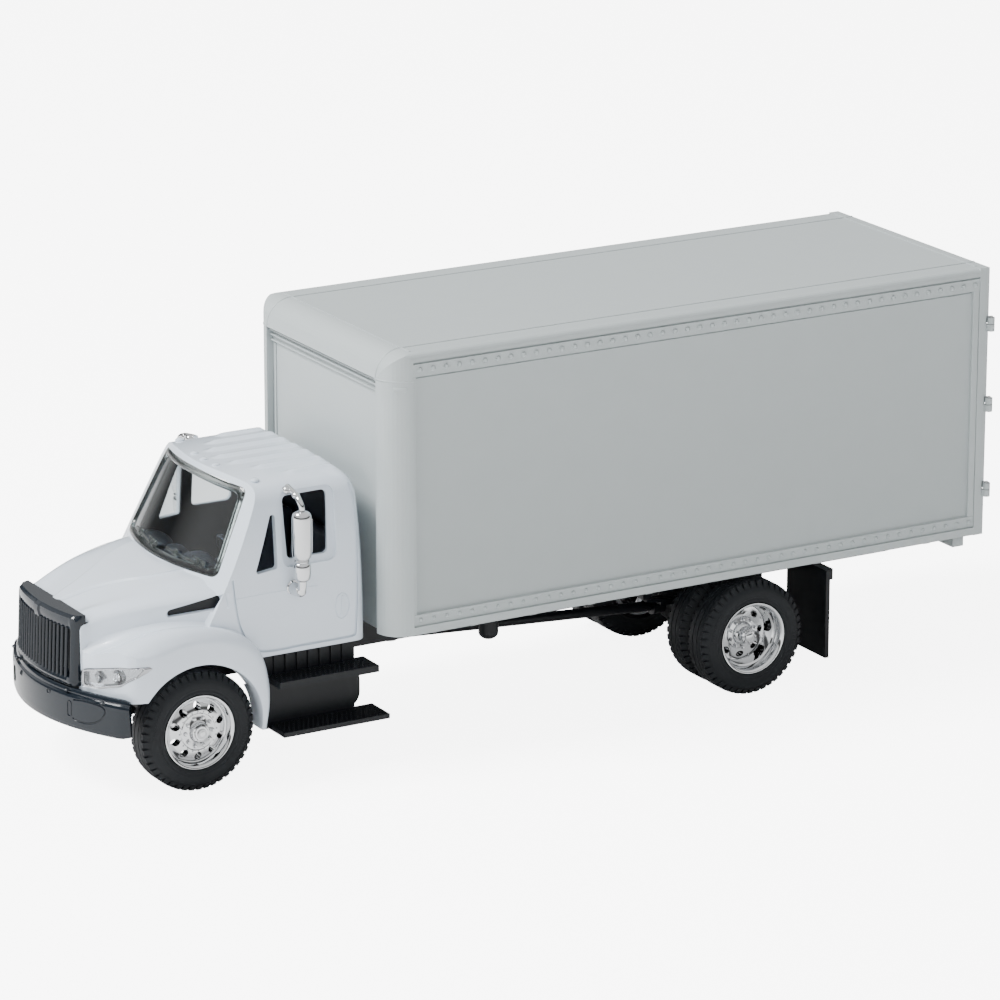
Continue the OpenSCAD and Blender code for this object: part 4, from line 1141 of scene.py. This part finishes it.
def make_wheels():
    """Six tyres with their lugs, and four plated wheels with hand holes and nuts."""
    rubber = tyre_mesh()
    front = corner("front_tyre_left", True)[0]
    rear = corner("rear_tyre_left_outer", True)[0]
    inner = corner("rear_tyre_left_inner", True)[0]
    for side, name in SIDES:
        for label, out, y, body in (
                ("front_tyre_" + name, front, FRONT_Y, "front_wheelset"),
                ("rear_tyre_" + name + "_outer", rear, REAR_Y, "rear_wheelset"),
                ("rear_tyre_" + name + "_inner", inner, REAR_Y, "rear_wheelset")):
            tyre = rubber.copy()
            bmesh.ops.translate(tyre, vec=(out, 0, 0), verts=tyre.verts)
            piece("rubber_" + label, place_wheel(tyre, y, side), "tyre_rubber", body, label)
        disc = cut(wheel_disc(FRONT_DISC, front), hand_holes(10, 5.25, front - 6, front + 3, (0.8, 0.92)))
        nut_ring(disc, 10, 3.0, front - 0.85, (0.75, 0.46, 0.46), 10, 0.31)
        nut_ring(disc, 20, 4.15, front - 1.02, (0.22, 0.2, 0.2), 6)
        nut_ring(disc, 5, 1.45, front + 0.32, (0.2, 0.2, 0.2), 6)
        piece("plated_front_wheel_" + name, place_wheel(disc, FRONT_Y, side), "bright_chrome",
              "front_wheelset", "front_wheel_" + name)
        disc = cut(wheel_disc(REAR_DISC, rear), hand_holes(8, 4.85, rear - 9, rear - 3, (0.95, 0.68)))
        nut_ring(disc, 10, 3.05, rear - 4.55, (0.8, 0.4, 0.4), 10)
        nut_ring(disc, 8, 1.3, rear - 2.1, (0.3, 0.22, 0.22), 6)
        nut_ring(disc, 8, 5.75, rear - 5.5, (0.22, 0.22, 0.22), 6, 0.39)
        piece("plated_rear_wheel_" + name, place_wheel(disc, REAR_Y, side), "bright_chrome",
              "rear_wheelset", "rear_wheel_" + name)
    rubber.free()


make_wheels()


# -------- box, steps and the room in the cab

BOX_LOW = corner("box_floor")[2] + 1.2
BOX_TOP = corner("box_roof", True)[2]
BOX_HALF = corner("box_roof", True)[0]
BODY_FRONT = corner("box_side_left")[1]
BODY_REAR = corner("box_side_left", True)[1]
WALL_IN = corner("box_side_left")[0]
WALL_FRONT = corner("box_front")[1]
RIVET_PITCH = 3.0


def rivet_row(bm, x, z, size):
    """Row of rivets along the box's side."""
    y0, y1 = BODY_FRONT + 1.6, BODY_REAR - 1.2
    count = round((y1 - y0) / RIVET_PITCH)
    for i in range(count + 1):
        dome(bm, (x, y0 + (y1 - y0) * i / count, z), size)


def make_box_sides():
    """Recessed panel between a grooved top rail and a ridged bottom rail, both with rivets."""
    low, top, high = BOX_LOW, BOX_TOP, BOX_TOP - 1.4
    face, panel = BOX_HALF, BOX_HALF - 0.85
    outline = [(face - 0.25, low), (face, low + 0.2), (face, low + 1.75), (face - 0.5, low + 1.9),
               (face - 0.5, low + 2.1), (face - 0.02, low + 2.2), (face - 0.16, low + 2.45),
               (face - 0.16, low + 3.95), (face, low + 4.15), (face, low + 4.35),
               (panel + 0.12, low + 4.55), (panel, low + 4.75), (panel, top - 5.4),
               (panel - 0.3, top - 5.3), (panel - 0.3, top - 4.95),
               (face - 0.12, top - 4.85), (face - 0.1, top - 2.45), (face - 0.02, top - 2.25),
               (face - 0.6, top - 2.15), (face - 0.6, top - 1.9), (face, top - 1.8), (face, high),
               (WALL_IN, high), (WALL_IN, low)]
    for side, name in SIDES:
        bm = prism(outline, lambda p, y: (p[0], y, p[1]), BODY_FRONT, BODY_REAR)
        for y0, y1 in ((BODY_FRONT + 0.02, BODY_FRONT + 0.75), (BODY_REAR - 1.5, BODY_REAR - 0.02)):
            block(bm, (panel - 0.5, y0, low + 4.2), (face - 0.14, y1, top - 4.8), 0.1, 1)
        rivet_row(bm, face - 0.12, top - 3.5, (0.62, 0.62, 0.58))
        rivet_row(bm, face - 0.16, low + 3.2, (0.56, 0.52, 0.48))
        piece("box_panel_" + name, on_side(bm, side), "box_plastic", "truck", "box_side_" + name)


def make_box_seams():
    """Raised seams on the roof and the rolled front, ridges and lozenges on the front wall."""
    bm = bmesh.new()
    roll = BODY_FRONT - WALL_FRONT
    eaves = BOX_TOP - roll
    seam_x = BOX_HALF - roll - 0.1
    rear = BODY_REAR + 2.3
    quarter = [math.radians(6 * k) for k in range(16)]
    for side in (-1, 1):
        x = side * seam_x
        block(bm, (x - 0.28, BODY_FRONT, BOX_TOP - 0.4), (x + 0.28, rear, BOX_TOP + 0.16), 0.05, 1)
        r = roll - 0.06
        tube(bm, [(x, BODY_FRONT - r * math.sin(a), eaves + r * math.cos(a)) for a in quarter], 0.24)
        r = roll - 0.05
        tube(bm, [(side * (seam_x + r * math.sin(a)), BODY_FRONT - r * math.cos(a), eaves)
                  for a in quarter], 0.22)
        a = math.radians(62)
        lozenge = block(bm, (-1.4, -0.32, -0.5), (1.4, 0.32, 0.5), 0.24)
        swing(bm, lozenge, side * a, "Z",
              (side * (seam_x + roll * math.sin(a)), BODY_FRONT - roll * math.cos(a), eaves - 1.6))
    end = seam_x + 3.6
    block(bm, (-end, BODY_FRONT + 0.1, BOX_TOP - 0.4), (end, BODY_FRONT + 0.6, BOX_TOP + 0.15), 0.05, 1)
    block(bm, (-end, rear - 2.3, BOX_TOP - 0.4), (end, rear - 1.8, BOX_TOP + 0.14), 0.05, 1)
    wall = WALL_FRONT + 1.5
    for k, drop in enumerate((0.5, 1.5, 2.7)):
        block(bm, (-seam_x, wall - 0.85 + 0.1 * k, eaves - drop - 0.32),
              (seam_x, wall + 0.1, eaves - drop), 0.14)
    for side in (-1, 1):
        x = side * (seam_x - 1.2)
        block(bm, (x - 0.25, wall - 0.3, DECK + 1.4), (x + 0.25, wall + 0.1, eaves - 3.4), 0.12)
    piece("box_seams", bm, "box_plastic", "truck")


def make_door_details():
    """Ridges and a handle's plate on the two rear doors."""
    low, high = corner("rear_door_left"), corner("rear_door_left", True)
    face = BODY_REAR + 2.4 - 0.4
    x0, x1 = low[0] + 2.6, high[0] - 8.6
    z0, z1 = low[2] + 3.0, high[2] - 3.0
    for side, name in SIDES:
        bm = bmesh.new()
        for z in (z0 + (z1 - z0) * k / 5 for k in range(1, 5)):
            block(bm, (x0, face - 0.1, z - 0.25), (x1, face + 0.12, z + 0.25), 0.1)
        x = x0 + 4.2
        block(bm, (x - 1.6, face - 0.1, z0 + 8.4), (x + 3.4, face + 0.3, z0 + 11.0), 0.25)
        piece("door_pressing_" + name, on_side(bm, side), "box_plastic", "door_" + name)


def make_step_dots():
    """Rows of small raised dots on both treads of each step."""
    low, high = corner("step_left"), corner("step_left", True)
    x0 = 20.9
    treads = ((DECK - 4.7, 17.9, 39.8, high[0] - 1.4), (low[2] + 1.0, 18.4, 41.6, high[0] - 0.6))
    for side, name in SIDES:
        bm = bmesh.new()
        for z, y0, y1, x1 in treads:
            rows = int((x1 - x0) / 1.05)
            for i in range(rows + 1):
                for k in range(int((y1 - y0) / 1.1)):
                    shift = 0.55 if i % 2 else 0.0
                    dome(bm, (x0 + (x1 - x0) * i / rows, FRONT_Y + y0 + 0.4 + 1.1 * k + shift, z - 0.02),
                         (0.24, 0.24, 0.22), 6)
        piece("step_dots_" + name, on_side(bm, side), "chassis_plastic", "truck")


def make_cab_room():
    """Dark sheet just inside the cab's walls as painted shade, and the humps of its dash in the same
    painted shade.
    """
    # Thin shell inside the cab walls, coloured near-black as painted shade.
    shade_sheet = cut(cabin_solid(1.5), cabin_solid(2.0))
    shade_sheet = boolean(shade_sheet, brick(at(-30, 6.0, 0.3), at(30, 50, 34.0)), "INTERSECT")
    shade_sheet = cut(shade_sheet, ahead_of_screen(2.6))
    for outline, radius in SIDE_WINDOWS:
        shade_sheet = cut(shade_sheet, side_window(outline, radius))
    piece("painted_shade_inner_walls", shade_sheet, "cab_inside", "truck")
    humps = bmesh.new()
    for x, y, z, size in ((10.2, 8.6, 18.2, (4.6, 2.4, 1.6)), (0.5, 7.8, 17.4, (3.6, 2.2, 1.5)),
                          (-9.5, 8.4, 17.4, (5.4, 2.4, 1.4)), (16.4, 9.4, 17.0, (1.8, 1.6, 1.3))):
        dome(humps, at(x, y, z), size, 20)
    piece("dash_humps", humps, "cab_inside", "truck")


def make_vents():
    """Black inserts in the hood's side vents."""
    ring = round_outline(HOOD_VENT, VENT_TURNS, 4)
    for side, name in SIDES:
        bm = lofted([[at(hood_side(y) - inner, y, z) for y, z in ring] for inner in (1.7, 1.0)])
        piece("vent_insert_" + name, on_side(bm, side), "chassis_plastic", "truck", "hood_vent_" + name)


make_box_sides()
make_box_seams()
make_door_details()
make_step_dots()
make_cab_room()
make_vents()


# -------- finishes for the CAD nodes

for row in frame["record"]["subparts"]:
    if row["node"] in frame["nodes"]:
        mesh = frame["nodes"][row["node"]].data
        mesh.materials.clear()
        mesh.materials.append(MATERIALS[row["material_slot"]])
